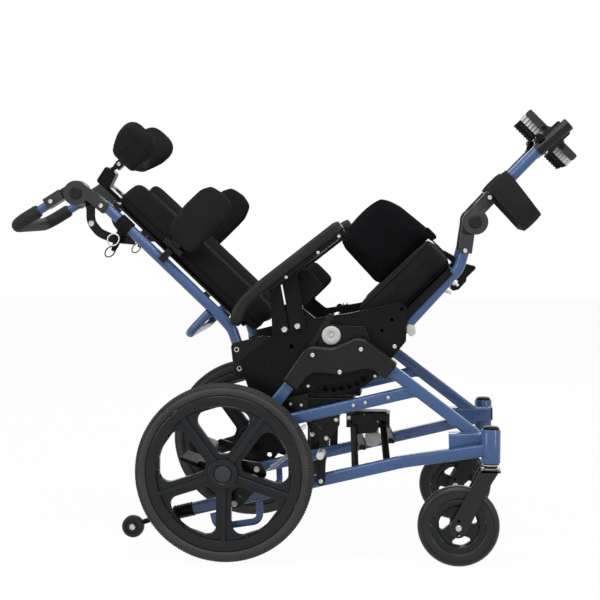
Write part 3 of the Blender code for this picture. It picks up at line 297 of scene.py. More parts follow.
zinc = bright_metal("bright_zinc", (0.62, 0.62, 0.60), 0.34)
alloy = bright_metal("cast_alloy", (0.50, 0.50, 0.48), 0.46)

# %% [markdown]
# Moulded plastic shows a fine spark-eroded grain, finer on the satin cover than on the seat's
# sides. The grain is a cell noise in the bump; a slow noise lifts the tone a little where
# hands have polished it. Rubber is the same idea with a browner tone and chalky dust.

# %% Plastics and rubber
def moulded(name, colour, roughness, grain, relief, gloss=0.5, dust=0.25):
    finish = Finish(name, colour, roughness, specular_ior_level=gloss)
    worn = finish.ramp(finish.noise(14.0, 5.0), 0.42, 0.78)
    dusty = tuple(c * 1.6 + 0.006 for c in colour)
    finish.feed("Base Color", finish.blend(worn * dust, colour, dusty))
    finish.feed("Roughness", worn * 0.12 + (roughness - 0.04))
    cells = finish.node("ShaderNodeTexVoronoi", None, {"Vector": finish.place(), "Scale": grain})
    return finish.bump(cells, relief, 0.3 * MILLIMETRE)


black_plastic = moulded("black_plastic", (0.0045, 0.0045, 0.0050), 0.32, 900.0, 0.16, 0.10)
satin_plastic = moulded("satin_plastic", (0.0060, 0.0060, 0.0064), 0.26, 1400.0, 0.08, 0.22)
wheel_plastic = moulded("wheel_plastic", (0.0070, 0.0080, 0.0092), 0.25, 1200.0, 0.06, 0.22)
grey_plastic = moulded("grey_plastic", (0.0240, 0.0262, 0.0288), 0.40, 1000.0, 0.18, 0.22)
sole_black = moulded("sole_black", (0.0050, 0.0050, 0.0054), 0.90, 800.0, 0.15, 0.03)
sole_grey = moulded("sole_grey", (0.40, 0.40, 0.38), 0.62, 800.0, 0.15, dust=0.5)
washer_grey = moulded("washer_grey", (0.44, 0.44, 0.42), 0.50, 700.0, 0.10, dust=0.3)
tyre_rubber = moulded("tyre_rubber", (0.0285, 0.0274, 0.0265), 0.58, 600.0, 0.20, 0.22, 0.6)
caster_rubber = moulded("caster_rubber", (0.0110, 0.0115, 0.0118), 0.34, 800.0, 0.12, 0.24, 0.4)
arm_skin = moulded("arm_skin", (0.0100, 0.0100, 0.0105), 0.44, 700.0, 0.20, 0.18)
foam_grip = moulded("foam_grip", (0.0125, 0.0130, 0.0140), 0.68, 500.0, 0.30, 0.18)

# %% [markdown]
# The covers are a knitted spacer mesh with little square cells. A pattern on one pair of
# axes would smear on the sides, so the cells are drawn on all three pairs and each face takes
# the pair that it faces, by the squares of its normal. The whole lattice is turned with the
# seat. Webbing takes the same square cells.

# %% Fabrics
CLOTH_ROUGHNESS = 0.92


def woven(name, colour, pitch, relief, fleck, sheen=0.0):
    finish = Finish(name, colour, CLOTH_ROUGHNESS, specular_ior_level=0.05, sheen_weight=sheen)
    turn = (SEAT_TILT + BACK_TILT) / 2
    place = finish.parts(finish.place(turn))
    along, across, up = ((part * (pi / pitch)).sine() for part in place)
    nx, ny, nz = finish.parts(finish.place(turn, "Normal"))
    cells = abs(across * up) * nx * nx + abs(along * up) * ny * ny + abs(along * across) * nz * nz
    slow = finish.noise(26.0, 4.0)
    tone = cells * 0.6 + slow * 0.5
    finish.feed("Base Color", finish.blend(tone, shade(colour, 0.55), shade(colour, fleck)))
    finish.feed("Roughness", slow * 0.10 + (CLOTH_ROUGHNESS - 0.05))
    return finish.bump(cells, relief, 0.8 * MILLIMETRE)


knit_mesh = woven("knit_mesh", (0.0052, 0.0053, 0.0056), 0.0046, 0.70, 3.0, 0.03)
stretch_cloth = woven("stretch_cloth", (0.0150, 0.0148, 0.0150), 0.0022, 0.30, 1.5, 0.04)
pad_cloth = woven("pad_cloth", (0.0085, 0.0085, 0.0088), 0.0030, 0.45, 2.2, 0.04)
deep_cloth = woven("deep_cloth", (0.0024, 0.0025, 0.0028), 0.0040, 0.70, 3.4)
piping_cloth = woven("piping_cloth", (0.0062, 0.0062, 0.0064), 0.0016, 0.30, 1.5)
webbing = woven("webbing", (0.0070, 0.0070, 0.0074), 0.0030, 0.50, 1.8)
thread = Finish("thread", (0.014, 0.014, 0.015), 0.85)
thread.feed("Roughness", thread.noise(900.0) * 0.2 + 0.7)

# %% [markdown]
# The imported record lists a few material slots. Each finish notes which of them it stands
# for. Bright metal and the pale trim have none.

# %% Record slots
SLOTS = {
    "blue_paint": (blue_paint,),
    "black_paint": (black_paint, lit_fork_paint),
    "black_plastic": (black_plastic, satin_plastic, wheel_plastic, sole_black),
    "grey_plastic": (grey_plastic,),
    "tyre_rubber": (tyre_rubber, caster_rubber),
    "armrest_skin": (arm_skin,),
    "black_foam": (foam_grip,),
    "black_fabric": (knit_mesh, stretch_cloth, pad_cloth, deep_cloth, piping_cloth, webbing, thread)}
for slot, finishes in SLOTS.items():
    for finish in finishes:
        finish.slot = slot
print("finishes:", len(bpy.data.materials))

# %% [markdown]
# Shapes are kept as plain lists of points and faces until the last moment. That makes them
# easy to join, mirror and carry from a sloping unit to the chair.

# %% Shapes as points and faces
ACROSS = Vector((0, 1, 0))


def joined(*shapes):
    points, faces = [], []
    for more, sides in shapes:
        start = len(points)
        points += more
        faces += [tuple(start + k for k in face) for face in sides]
    return points, faces


def moved(shape, matrix):
    return [tuple(matrix @ Vector(p)) for p in shape[0]], shape[1]


def sided(shape, s):
    """A shape drawn for the left side (y positive), or its mirror image for the right."""
    if s > 0:
        return shape
    return [(x, -y, z) for x, y, z in shape[0]], [tuple(reversed(face)) for face in shape[1]]


def skin(rings, closed=False, caps=True):
    """Faces between rings of equal length."""
    count = len(rings[0])
    points = [tuple(p) for ring in rings for p in ring]
    starts = [k * count for k in range(len(rings))]
    pairs = list(zip(starts, starts[1:])) + ([(starts[-1], 0)] if closed else [])
    steps = [(k, (k + 1) % count) for k in range(count)]
    faces = [(a + k, a + after, b + after, b + k) for a, b in pairs for k, after in steps]
    if caps and not closed:
        faces += [tuple(reversed(range(count))), tuple(range(starts[-1], starts[-1] + count))]
    return points, faces


# %% [markdown]
# Bent tube and moulded plates have round corners everywhere, so outlines are drawn with sharp
# corners and `bent` rounds them. Side views are drawn as pairs of x and z.

# %% Paths and outlines
def arc(centre, radius, start, end, steps=8):
    turns = (start + (end - start) * k / steps for k in range(steps + 1))
    return [(centre[0] + radius * cos(t), centre[1] + radius * sin(t)) for t in turns]


def circle(centre, radius, steps=24):
    return arc(centre, radius, 0, 2 * pi * (1 - 1 / steps), steps - 1)


ALMOST_STRAIGHT = radians(83)


def bent(points, radius, steps=6):
    """An open path with its inner corners rounded, by one radius or by a list of them."""
    points = [Vector(p) for p in points]
    radii = radius if isinstance(radius, (list, tuple)) else [radius] * (len(points) - 2)
    path = [points[0]]
    for before, here, after, size in zip(points, points[1:], points[2:], radii):
        back, ahead = (before - here).normalized(), (after - here).normalized()
        half = back.angle(ahead) / 2
        if half > ALMOST_STRAIGHT:
            path.append(here)
            continue
        reach = min(size / tan(half), (before - here).length * 0.49, (after - here).length * 0.49)
        centre = here + (back + ahead).normalized() * (reach / cos(half))
        start, end = here + back * reach - centre, here + ahead * reach - centre
        turns = (start.normalized().slerp(end.normalized(), k / steps) for k in range(steps + 1))
        path += [centre + turn * start.length for turn in turns]
    return path + [points[-1]]


def spread(points, step=0.006, closed=True):
    """A path with points at even steps."""
    points = [Vector(p) for p in points]
    pairs = zip(points, points[1:] + (points[:1] if closed else []))
    path = []
    for a, b in pairs:
        count = max(1, round((b - a).length / step))
        path += [a.lerp(b, k / count) for k in range(count)]
    return path if closed else path + [points[-1]]


def soft_loop(points, radius, steps=5):
    """A closed outline with round corners."""
    loop = [(x, 0, z) for x, z in points]
    path = bent(loop[-1:] + loop + loop[:1], radius, steps)
    return [(p.x, p.z) for p in path[1:-1]]


def in_space(point, y=0):
    """A point of the side view at a given y."""
    return point[0], y, point[1]


def at_y(y, *points):
    return [in_space(p, y) for p in points]


# %% [markdown]
# Three ways of drawing make nearly everything here. The first is a plate with holes, the second
# a profile that is turned about a line.

# %% Plates and turned shapes
def plate(outline, y0, y1, holes=()):
    """A flat plate drawn along Y, with any holes cut right through."""
    loops = [list(outline), *[list(hole) for hole in holes]]
    flat = [p for loop in loops for p in loop]
    count = len(flat)
    points = [(x, y, z) for y in (y0, y1) for x, z in flat]
    if holes:
        cap = tessellate([[Vector((x, z, 0)) for x, z in loop] for loop in loops])
    else:
        cap = [tuple(range(count))]
    faces = [tuple(face) for face in cap]
    faces += [tuple(k + count for k in reversed(face)) for face in cap]
    start = 0
    for loop in loops:
        for k in range(len(loop)):
            here, after = start + k, start + (k + 1) % len(loop)
            faces.append((here, after, after + count, here + count))
        start += len(loop)
    return points, faces


def brick(low, high):
    (x0, y0, z0), (x1, y1, z1) = low, high
    return plate(((x0, z0), (x1, z0), (x1, z1), (x0, z1)), y0, y1)


def turned(profile, at=(0, 0, 0), sides=64, loop=False):
    """A profile of (radius, offset) turned about a line along Y; a closed loop makes a ring."""
    x, y, z = at
    turns = [2 * pi * k / sides for k in range(sides)]
    ring = [[(x + r * cos(t), y + o, z + r * sin(t)) for t in turns] for r, o in profile]
    return skin(ring, closed=loop)


def upright(profile, at, sides=40):
    """The same, turned about a vertical line."""
    standing = Matrix.Translation(at) @ Matrix.Rotation(radians(90), 4, "X")
    return moved(turned(profile, sides=sides), standing)


def two_faced(profile, at=(0, 0, 0), sides=64):
    """A ring turned from the profile of one face and its mirror image."""
    back = [(r, -o) for r, o in reversed(profile) if o]
    return turned([*profile, *back], at, sides, loop=True)


def tapered(outline, layers):
    """A short solid along Z: one outline, scaled for each (height, scale)."""
    return skin([[(x * k, y * k, z) for x, y in outline] for z, k in layers])


def pin(centre, radius, y0, y1, edge=0.0006, sides=24):
    """A round bar along Y with eased ends."""
    low, high = sorted((y0, y1))
    profile = [(radius - edge, low), (radius, low + edge), (radius, high - edge), (radius - edge, high)]
    return turned(profile, in_space(centre), sides)


# %% [markdown]
# The third is a section swept along a path, for tubes, bars, rims and straps. One of its sides
# keeps facing the same way, so a flat bar doesn't twist on its way round a bend.

# %% Sections and sweeps
def round_section(radius, sides=20):
    return circle((0, 0), radius, sides)


def oblong_section(wide, tall, corner, steps=4):
    w, t = wide / 2 - corner, tall / 2 - corner
    quarters = ((w, t, 0), (-w, t, 1), (-w, -t, 2), (w, -t, 3))
    ends = [((u, v), q * pi / 2, (q + 1) * pi / 2) for u, v, q in quarters]
    return [p for at, start, end in ends for p in arc(at, corner, start, end, steps)]


def sweep(path, section, across=ACROSS, sizes=None, closed=False):
    """A section carried along a path that keeps one side towards `across`."""
    path = [Vector(p) for p in path]
    last = len(path) - 1
    rings = []
    for k, here in enumerate(path):
        after = path[(k + 1) % len(path)] if closed or k < last else here
        before = path[k - 1] if closed or k else here
        ahead, behind = (after - here).normalized(), (here - before).normalized()
        along = (ahead + behind).normalized()
        side = (across - along * across.dot(along)).normalized()
        up = along.cross(side)
        size = sizes[k] if sizes else 1.0
        rings.append([here + (side * u + up * v) * size for u, v in section])
    return skin(rings, closed=closed)


def tube(points, radius, bend=0.05, across=ACROSS, sides=20):
    return sweep(bent(points, bend, 8), round_section(radius, sides), across)


def arm(p, q, radius_p, radius_q, y0, y1, holes=()):
    """A flat arm with round ends."""
    heading = atan2(q[1] - p[1], q[0] - p[0])
    outline = arc(p, radius_p, heading + pi / 2, heading + 3 * pi / 2, 12)
    outline += arc(q, radius_q, heading - pi / 2, heading + pi / 2, 12)
    return plate(outline, y0, y1, holes)


# %% [markdown]
# Every finished piece goes through `make`: it carries the shape to the chair, points its
# faces outwards, eases its edges with a small bevel, hangs it on the body it moves with and
# hides the plain solid it stands for. Most pieces come in pairs, so `both` makes the right and
# the left one from a shape that is drawn for the left; {} in a name stands for the side.

# %% Making a piece
def mesh_of(name, shape, place=None):
    points = [tuple(place @ Vector(p)) for p in shape[0]] if place else shape[0]
    mesh = bpy.data.meshes.new(name)
    mesh.from_pydata(points, [], shape[1])
    return mesh


def outward(mesh):
    """Merge doubles and point the faces outwards."""
    work = bmesh.new()
    work.from_mesh(mesh)
    bmesh.ops.remove_doubles(work, verts=work.verts, dist=1e-6)
    bmesh.ops.recalc_face_normals(work, faces=work.faces)
    work.to_mesh(mesh)
    work.free()


def settle(name, mesh, body, finish, instead=(), slot=None, bevel=0.0, steps=2, sharp=32):
    outward(mesh)
    mesh.shade_smooth()
    mesh.materials.clear()
    mesh.materials.append(finish.material)
    piece = add_object(name, mesh)
    if bevel:
        eased = piece.modifiers.new("eased edges", "BEVEL")
        eased.width, eased.segments = bevel, steps
        eased.limit_method, eased.angle_limit = "ANGLE", radians(sharp)
        eased.harden_normals = True
    else:
        mesh.set_sharp_from_angle(angle=radians(sharp))
    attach(piece, body)
    if instead:
        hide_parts(*instead)
    return piece


def make(name, shape, place, body, finish, instead=(), **how):
    return settle(name, mesh_of(name, shape, place), body, finish, instead, **how)


def both(name, shape, place, body, finish, instead=None, **how):
    """A right and a left piece from a shape drawn for the left."""
    for side, s in SIDES:
        nodes = [instead.format(side)] if instead else ()
        make(name.format(side), sided(shape, s), place, body.format(side), finish, nodes, **how)


# %% [markdown]
# Screws, stitches, weld ripples and tread blocks repeat, so small node recipes make them. One
# recipe sets a part on every point and turns it to the point's `aim`. Another walks along a
# path and sets a part at every step, turned along the path with its top towards `up`. A third
# winds a wire. All end in real geometry, because instances would be lost later.

# %% Recipes for what repeats
class Recipe(Nodes):
    """A geometry node tree with named inputs."""

    def __init__(self, name, **inputs):
        self.tree = bpy.data.node_groups.new(name, "GeometryNodeTree")
        face = self.tree.interface
        face.new_socket("Geometry", in_out="INPUT", socket_type="NodeSocketGeometry")
        self.identifiers = {}
        for label, kind in inputs.items():
            socket = face.new_socket(label, in_out="INPUT", socket_type="NodeSocket" + kind)
            self.identifiers[label] = socket.identifier
        face.new_socket("Geometry", in_out="OUTPUT", socket_type="NodeSocketGeometry")
        self.entry = self.tree.nodes.new("NodeGroupInput")

    def given(self, label):
        return Sum(self, self.entry.outputs[label])

    def vector(self, label):
        settings = {"data_type": "FLOAT_VECTOR"}
        return self.node("GeometryNodeInputNamedAttribute", settings, {"Name": label})

    def aligned(self, axis, vector, pivot="AUTO", **more):
        settings = {"axis": axis, "pivot_axis": pivot}
        return self.node("FunctionNodeAlignRotationToVector", settings, {"Vector": vector, **more})

    def copies(self, points, rotation):
        part = self.node("GeometryNodeObjectInfo", None, {"Object": self.given("Part")}, "Geometry")
        sockets = {"Points": points, "Instance": part, "Rotation": rotation}
        return self.node("GeometryNodeInstanceOnPoints", None, sockets)

    def deliver(self, geometry):
        real = self.node("GeometryNodeRealizeInstances", None, {"Geometry": geometry})
        sockets = {"Geometry": real, "Material": self.given("Finish")}
        dressed = self.node("GeometryNodeSetMaterial", None, sockets)
        self.tree.links.new(dressed.socket, self.tree.nodes.new("NodeGroupOutput").inputs[0])


on_points = Recipe("part_on_each_point", Part="Object", Finish="Material")
dots = on_points.node("GeometryNodeMeshToPoints", None, {"Mesh": on_points.given("Geometry")})
on_points.deliver(on_points.copies(dots, on_points.aligned("Z", on_points.vector("aim"))))

along_path = Recipe("part_along_a_path", Part="Object", Step="Float", Finish="Material")
line = along_path.node("GeometryNodeMeshToCurve", None, {"Mesh": along_path.given("Geometry")})
walk = along_path.node("GeometryNodeResampleCurve", {"mode": "LENGTH"},
                       {"Curve": line, "Length": along_path.given("Step")})
heading = along_path.aligned("X", along_path.node("GeometryNodeInputTangent"))
standing = along_path.aligned("Z", along_path.vector("up"), "X", Rotation=heading)
along_path.deliver(along_path.copies(walk, standing))

coil = Recipe("coiled_wire", Turns="Float", Radius="Float", Height="Float", Wire="Float",
              Finish="Material")
spiral = coil.node("GeometryNodeCurveSpiral", None, {
    "Resolution": 20, "Rotations": coil.given("Turns"), "Start Radius": coil.given("Radius"),
    "End Radius": coil.given("Radius"), "Height": coil.given("Height")})
wire = coil.node("GeometryNodeCurvePrimitiveCircle", None,
                 {"Resolution": 8, "Radius": coil.given("Wire")})
coil.deliver(coil.node("GeometryNodeCurveToMesh", None,
                       {"Curve": spiral, "Profile Curve": wire, "Fill Caps": True}))
print("recipes:", len(bpy.data.node_groups))

# %% [markdown]
# A recipe runs on a seed of points, which may carry a direction each. Its result is kept as a
# plain mesh, one for each body.

# %% Running a recipe
small_parts = []


def small_part(name, shape):
    """A part that a recipe copies; it is removed at the end."""
    small_parts.append(add_object(name, mesh_of(name, shape)))
    return small_parts[-1]


def grown(name, recipe, finish, points=((0, 0, 0),), edges=(), vectors=None, **values):
    """Run a recipe on some points and keep the result as a plain mesh."""
    seed = bpy.data.meshes.new(name)
    seed.from_pydata([tuple(p) for p in points], edges, [])
    for label, values_at in (vectors or {}).items():
        attribute = seed.attributes.new(label, "FLOAT_VECTOR", "POINT")
        attribute.data.foreach_set("vector", [v for vector in values_at for v in vector])
    holder = add_object(name, seed)
    modifier = holder.modifiers.new("recipe", "NODES")
    modifier.node_group = recipe.tree
    for label, value in {**values, "Finish": finish.material}.items():
        modifier[recipe.identifiers[label]] = value
    return plain(holder)


def plain(holder):
    """An object's evaluated shape as a plain mesh; the object goes."""
    ready = holder.evaluated_get(bpy.context.evaluated_depsgraph_get())
    mesh = bpy.data.meshes.new_from_object(ready)
    bpy.data.objects.remove(holder, do_unlink=True)
    return mesh


def row(name, part, step, body, finish, points, edges, tops, sharp=30):
    """One piece made of copies of a small part along a path."""
    mesh = grown(name, along_path, finish, points, edges, {"up": tops}, Part=part, Step=step)
    return settle(name, mesh, body, finish, sharp=sharp)


# %% [markdown]
# The screws are button heads with a socket. They are only noted while the chair is built, and
# set at the end, so that each body gets one mesh for each size.

# %% Screws to come
def screw_shape(radius, tall):
    """A round head with a socket in it, its seat on z = 0 and its top along Z."""
    layers = ((0.45 * tall, 0.0002), (0.45 * tall, 0.48 * radius), (0.96 * tall, 0.48 * radius),
              (tall, 0.72 * radius), (0.62 * tall, 0.95 * radius), (0.0, radius), (-0.0008, 0.9 * radius))
    return tapered(round_section(1.0, 12), layers)


SCREWS = {"small": small_part("small_screw", screw_shape(0.0042, 0.0022)),
          "medium": small_part("medium_screw", screw_shape(0.0056, 0.0030)),
          "large": small_part("large_bolt", screw_shape(0.0078, 0.0050))}
screw_sites = {}


def screw(body, size, place, x, y, z, aim):
    """Note a screw: its unit's axes, its place there and which way its head looks."""
    sites = screw_sites.setdefault((body, size), [])
    sites.append((place @ Vector((x, y, z)), place.to_3x3() @ Vector(aim)))


def screws(body, size, place, y, *sites, facing=1):
    """Note screws on both sides, with heads that look outwards, or inwards for -1."""
    for side, s in SIDES:
        for x, z in sites:
            screw(body.format(side), size, place, x, s * y, z, (0, s * facing, 0))


# %% [markdown]
# Each side of the base is one welding: a long lower rail that swings out to the caster, an
# upper loop, a short square stub and an upright head tube. The tube is a rectangle with round
# corners, so it is swept as that section.

# %% Welded side frames
RAIL_Y, HEAD_Y, STUB_Y = 0.195, 0.242, 0.202
TUBE_WIDE, TUBE_HALF, TUBE_CORNER = 0.025, 0.0135, 0.006
FRAME_TUBE = oblong_section(TUBE_WIDE, 2 * TUBE_HALF, TUBE_CORNER)
UPPER_TUBE = oblong_section(0.0244, 2 * TUBE_HALF, TUBE_CORNER)
STUB_TUBE = oblong_section(0.040, 0.034, 0.005)
RAIL = ((-0.077, RAIL_Y, 0.107), (0.394, RAIL_Y, 0.222), (0.575, HEAD_Y, 0.259))
RAIL_SLOPE = (RAIL[1][2] - RAIL[0][2]) / (RAIL[1][0] - RAIL[0][0])
UPPER_REAR, UPPER_FRONT, DOWN_FOOT = (0.052, 0.2911), (0.425, 0.382), (0.5600, 0.2795)
LOOP_FOOT = (0.0644, 0.2942)
BRIDGE = ((0.142, 0.392), (0.188, 0.450), (0.245, 0.446), (0.307, 0.464), (0.368, 0.4255))
STUB = ((0.495, 0.272), (0.604, 0.276))
HEAD_AT, HEAD_RADIUS = (0.586, HEAD_Y, 0), 0.021

loop_path = bent(at_y(RAIL_Y, LOOP_FOOT, *BRIDGE, DOWN_FOOT), 0.030)
head_profile = ((0.0175, 0.229), (HEAD_RADIUS, 0.231), (HEAD_RADIUS, 0.302), (0.0195, 0.3045),
                (0.016, 0.305))
side_frame = joined(sweep(bent(RAIL, 0.05), FRAME_TUBE), sweep(loop_path, FRAME_TUBE),
                    sweep(at_y(RAIL_Y, UPPER_REAR, UPPER_FRONT), UPPER_TUBE),
                    sweep(at_y(STUB_Y, *STUB), STUB_TUBE), upright(head_profile, HEAD_AT))
cap_profile = ((0.0178, 0.3045), (0.0178, 0.3075), (0.014, 0.3105), (0.006, 0.312), (0.0003, 0.3122))
stub_plug = sweep(at_y(STUB_Y, (0.6035, 0.276), (0.6075, 0.2761)), oblong_section(0.037, 0.031, 0.005))
end_caps = joined(upright(cap_profile, HEAD_AT), stub_plug)
both("side_frame_{}_welded", side_frame, BASE, "base", blue_paint, "side_frame_{}", sharp=40)
both("frame_caps_{}", end_caps, BASE, "base", black_plastic, bevel=0.0008, steps=3)
print("side frames welded")

# %% [markdown]
# A weld shows as a row of ripples where one tube's surface runs into the next. Each point of
# the tube's section is slid along its tube to that face, and ripples walk round the path.

# %% Weld ripples
bead = small_part("weld_ripple", tapered([(x, 1.5 * y) for x, y in round_section(0.0016, 7)],
                                         ((-0.0005, 1.0), (0.0010, 0.85), (0.0016, 0.35))))
WELDS = (((0.30, 0.3515), UPPER_FRONT, UPPER_FRONT, (0.605, 0.796), -TUBE_HALF),
         (BRIDGE[1], LOOP_FOOT, LOOP_FOOT, (-0.2367, 0.9716), TUBE_HALF),
         (UPPER_FRONT, (0.545, 0.291), (0.545, 0.2738), (-0.0367, 0.9993), 0.017))


def weld_path(start, end, point, normal, lift):
    """Where a tube's surface runs into a flat face, and the way its ripples look."""
    along = Vector((end[0] - start[0], 0, end[1] - start[1])).normalized()
    facing = Vector(in_space(normal))
    face = Vector(in_space(point, RAIL_Y)) + facing * lift
    up = along.cross(ACROSS)
    path, tops = [], []
    for u, v in oblong_section(TUBE_WIDE, 2 * TUBE_HALF, TUBE_CORNER, 6):
        rim = ACROSS * u + up * v
        here = Vector(in_space(end, RAIL_Y)) + rim
        path.append(here + along * ((face - here).dot(facing) / along.dot(facing)))
        tops.append(rim.normalized() + facing * (1 if lift > 0 else -1))
    return path, tops


for side, s in SIDES:
    points, tops, edges = [], [], []
    for weld in WELDS:
        path, up = weld_path(*weld)
        start, count = len(points), len(path)
        points += [BASE @ Vector((p.x, s * p.y, p.z)) for p in path]
        tops += [(v.x, s * v.y, v.z) for v in up]
        edges += [(start + k, start + (k + 1) % count) for k in range(count)]
    row(f"weld_beads_{side}", bead, 0.0021, "base", blue_paint, points, edges, tops, sharp=80)
print("weld paths:", len(WELDS), "a side")

# %% [markdown]
# A smooth satin cover wraps each bridge. Its edges are broadly rounded, a backing plate shows
# below it, and three screws sit in black collars. Inside it a steel ear carries the seat's
# tilt pin, with a pale dished head.

# %% Covers and tilt brackets
COVER = ((0.127, 0.403), (0.172, 0.470), (0.190, 0.481), (0.239, 0.475), (0.288, 0.499),
         (0.310, 0.497), (0.382, 0.442), (0.355, 0.406), (0.318, 0.434), (0.250, 0.416),
         (0.190, 0.421), (0.157, 0.379))
BACKING = ((0.160, 0.398), (0.172, 0.379), (0.194, 0.375), (0.208, 0.390), (0.246, 0.393),
           (0.279, 0.400), (0.309, 0.414), (0.324, 0.402), (0.341, 0.412), (0.330, 0.440),
           (0.250, 0.440), (0.180, 0.440))
COVER_SOFT, COVER_TIGHT = 0.030, 0.006
COVER_ENDS = (0, 6, 7, 11)
COVER_IN, COVER_OUT, BACKING_OUT = 0.1791, 0.218, 0.1900
COVER_SCREWS = ((0.194, 0.460), (0.301, 0.474), (0.254, 0.423))
cover_radii = [COVER_TIGHT if k in COVER_ENDS else COVER_SOFT for k in range(len(COVER))]
shell = plate(soft_loop(COVER, cover_radii, 8), COVER_IN, COVER_OUT)
backing = plate(soft_loop(BACKING, 0.007), COVER_IN, BACKING_OUT)
COLLAR = [(r, COVER_OUT + o) for r, o in ((0.0058, -0.004), (0.0078, -0.004), (0.0078, 0.0002),
                                          (0.0070, 0.0008), (0.0058, 0.0004))]
collars = joined(*(turned(COLLAR, in_space(at), 28, loop=True) for at in COVER_SCREWS))
both("rocker_cover_{}_shell", shell, BASE, "base", satin_plastic, "rocker_cover_{}",
     bevel=0.009, steps=6)
both("cover_backing_{}", backing, BASE, "base", black_plastic, bevel=0.0015)
both("cover_collars_{}", collars, BASE, "base", black_plastic)
screws("base", "small", BASE, BACKING_OUT, (0.182, 0.388), (0.331, 0.412))
screws("base", "medium", BASE, COVER_OUT - 0.001, *COVER_SCREWS)

PIVOT, PIVOT_OUT = (0.233, 0.501), 0.1832
EAR_IN, EAR_OUT = 0.1692, 0.1788
ear_edge = arc(PIVOT, 0.025, pi, radians(60), 16)
ear_edge += [(0.308, 0.522), (0.322, 0.484), (0.300, 0.446), (0.278, 0.436), (0.193, 0.436)]
ear = plate(soft_loop(ear_edge, 0.006), EAR_IN, EAR_OUT)
pivot_head = turned(((0.0003, PIVOT_OUT), (0.006, PIVOT_OUT), (0.0085, 0.1850), (0.017, 0.1858),
                     (0.0203, 0.1848), (0.021, 0.1830), (0.021, 0.1786)), in_space(PIVOT), 48)
lock_housing = brick((0.165, 0.120, 0.325), (0.285, 0.1822, 0.362))
GUSSET_OUT = 0.1826
GUSSET = ((0.088, 0.306), (0.180, 0.330), (0.180, 0.372), (0.140, 0.362), (0.104, 0.342),
          (0.082, 0.330))
gusset_plate = plate(soft_loop(GUSSET, 0.006), 0.1735, GUSSET_OUT)
both("tilt_bracket_{}_ear", ear, BASE, "base", black_paint, "tilt_bracket_{}", bevel=0.0015, steps=3)
both("tilt_pivot_{}_head", pivot_head, BASE, "base", washer_grey)
both("tilt_lock_{}_housing", lock_housing, BASE, "base", black_plastic, bevel=0.005, steps=3)
both("rail_gusset_{}", gusset_plate, BASE, "base", black_paint, bevel=0.0012)
screws("base", "small", BASE, PIVOT_OUT, PIVOT)
screws("base", "small", BASE, GUSSET_OUT, (0.142, 0.346), (0.166, 0.344))
print("covers and tilt brackets on")

# %% [markdown]
# Behind the cover a plate bolted to the rail carries the rear axle. A strap of bent bar runs
# under the rail beside it.

# %% Axle plates
AXLE_PLATE = ((0.000, 0.112), (0.036, 0.118), (0.060, 0.150), (0.092, 0.190), (0.082, 0.216),
              (0.0, 0.228), (-0.030, 0.212), (-0.026, 0.170))
AXLE_PLATE_IN, AXLE_PLATE_OUT = 0.2078, 0.2158
HUB, PEDAL_PIVOT = (0.0, 0.200), (0.010, 0.172)
plate_holes = [circle((0.050, 0.162), 0.006), circle((0.030, 0.140), 0.005)]
boss = ((0.006, 0.2150), (0.012, 0.2150), (0.012, 0.2240), (0.0108, 0.2252), (0.006, 0.2252))
axle_plate = joined(plate(soft_loop(AXLE_PLATE, 0.012), AXLE_PLATE_IN, AXLE_PLATE_OUT, plate_holes),
                    turned(boss, in_space(HUB), 32, loop=True),
                    pin(HUB, 0.006, 0.212, 0.262), pin(PEDAL_PIVOT, 0.005, 0.148, 0.212))
STRAP = ((-0.030, 0.102), (-0.022, 0.070), (0.076, 0.086), (0.074, 0.130))
rail_strap = sweep(bent(at_y(0.2125, *STRAP), 0.018), oblong_section(0.0045, 0.0155, 0.0015))
both("axle_plate_{}_steel", axle_plate, BASE, "base", black_paint, "axle_plate_{}", bevel=0.0008)
both("rail_strap_{}", rail_strap, BASE, "base", blue_paint, sharp=50)
screws("base", "large", BASE, AXLE_PLATE_OUT, (0.069, 0.203), (0.018, 0.125))
screws("base", "medium", BASE, AXLE_PLATE_OUT, (-0.022, 0.200))
screws("base", "small", BASE, 0.2075, (0.310, 0.3545), (0.284, 0.348), (0.361, 0.3665))
print("axle plates bolted")

# %% [markdown]
# The rear wheel is one moulding: a rim with a shallow groove, five spokes with a ridge down
# the middle, and a hub with a grey cap. The spokes are what is left between five rounded
# windows, so the web is a plate with holes.

# %% Rear wheels
WHEEL_Y, WHEEL_RADIUS = 0.250, 0.200
WHEEL_AT = Matrix.Translation((0, WHEEL_Y, WHEEL_RADIUS))
SPOKES, FIRST_SPOKE = 5, 54


def spoke_window(inner, outer, spoke, index, corner, count=SPOKES, phase=FIRST_SPOKE):
    """The gap between two spokes of even width."""
    first, last = (radians(phase + 360 / count * k) for k in (index, index + 1))
    wide, narrow = asin(spoke / 2 / inner), asin(spoke / 2 / outer)
    lead = (last - first - 2 * narrow) * 0.42
    corners = [(radius * cos(turn), radius * sin(turn)) for radius, turn in
               ((outer, first + narrow), (outer, last - narrow), (inner, last - wide), (inner, first + wide))]
    crest = arc((0, 0), outer, first + narrow + lead, last - narrow - lead, 3)
    radii = [corner, *[0.001] * len(crest), corner, corner * 0.5, corner * 0.5]
    return soft_loop([corners[0], *crest, *corners[1:]], radii, 8)


def ridge(inner, outer, root, tip, y0, y1, degrees):
    """A raised bar along a spoke."""
    along = Vector((cos(radians(degrees)), sin(radians(degrees))))
    return arm(along * inner, along * outer, root, tip, y0, y1)


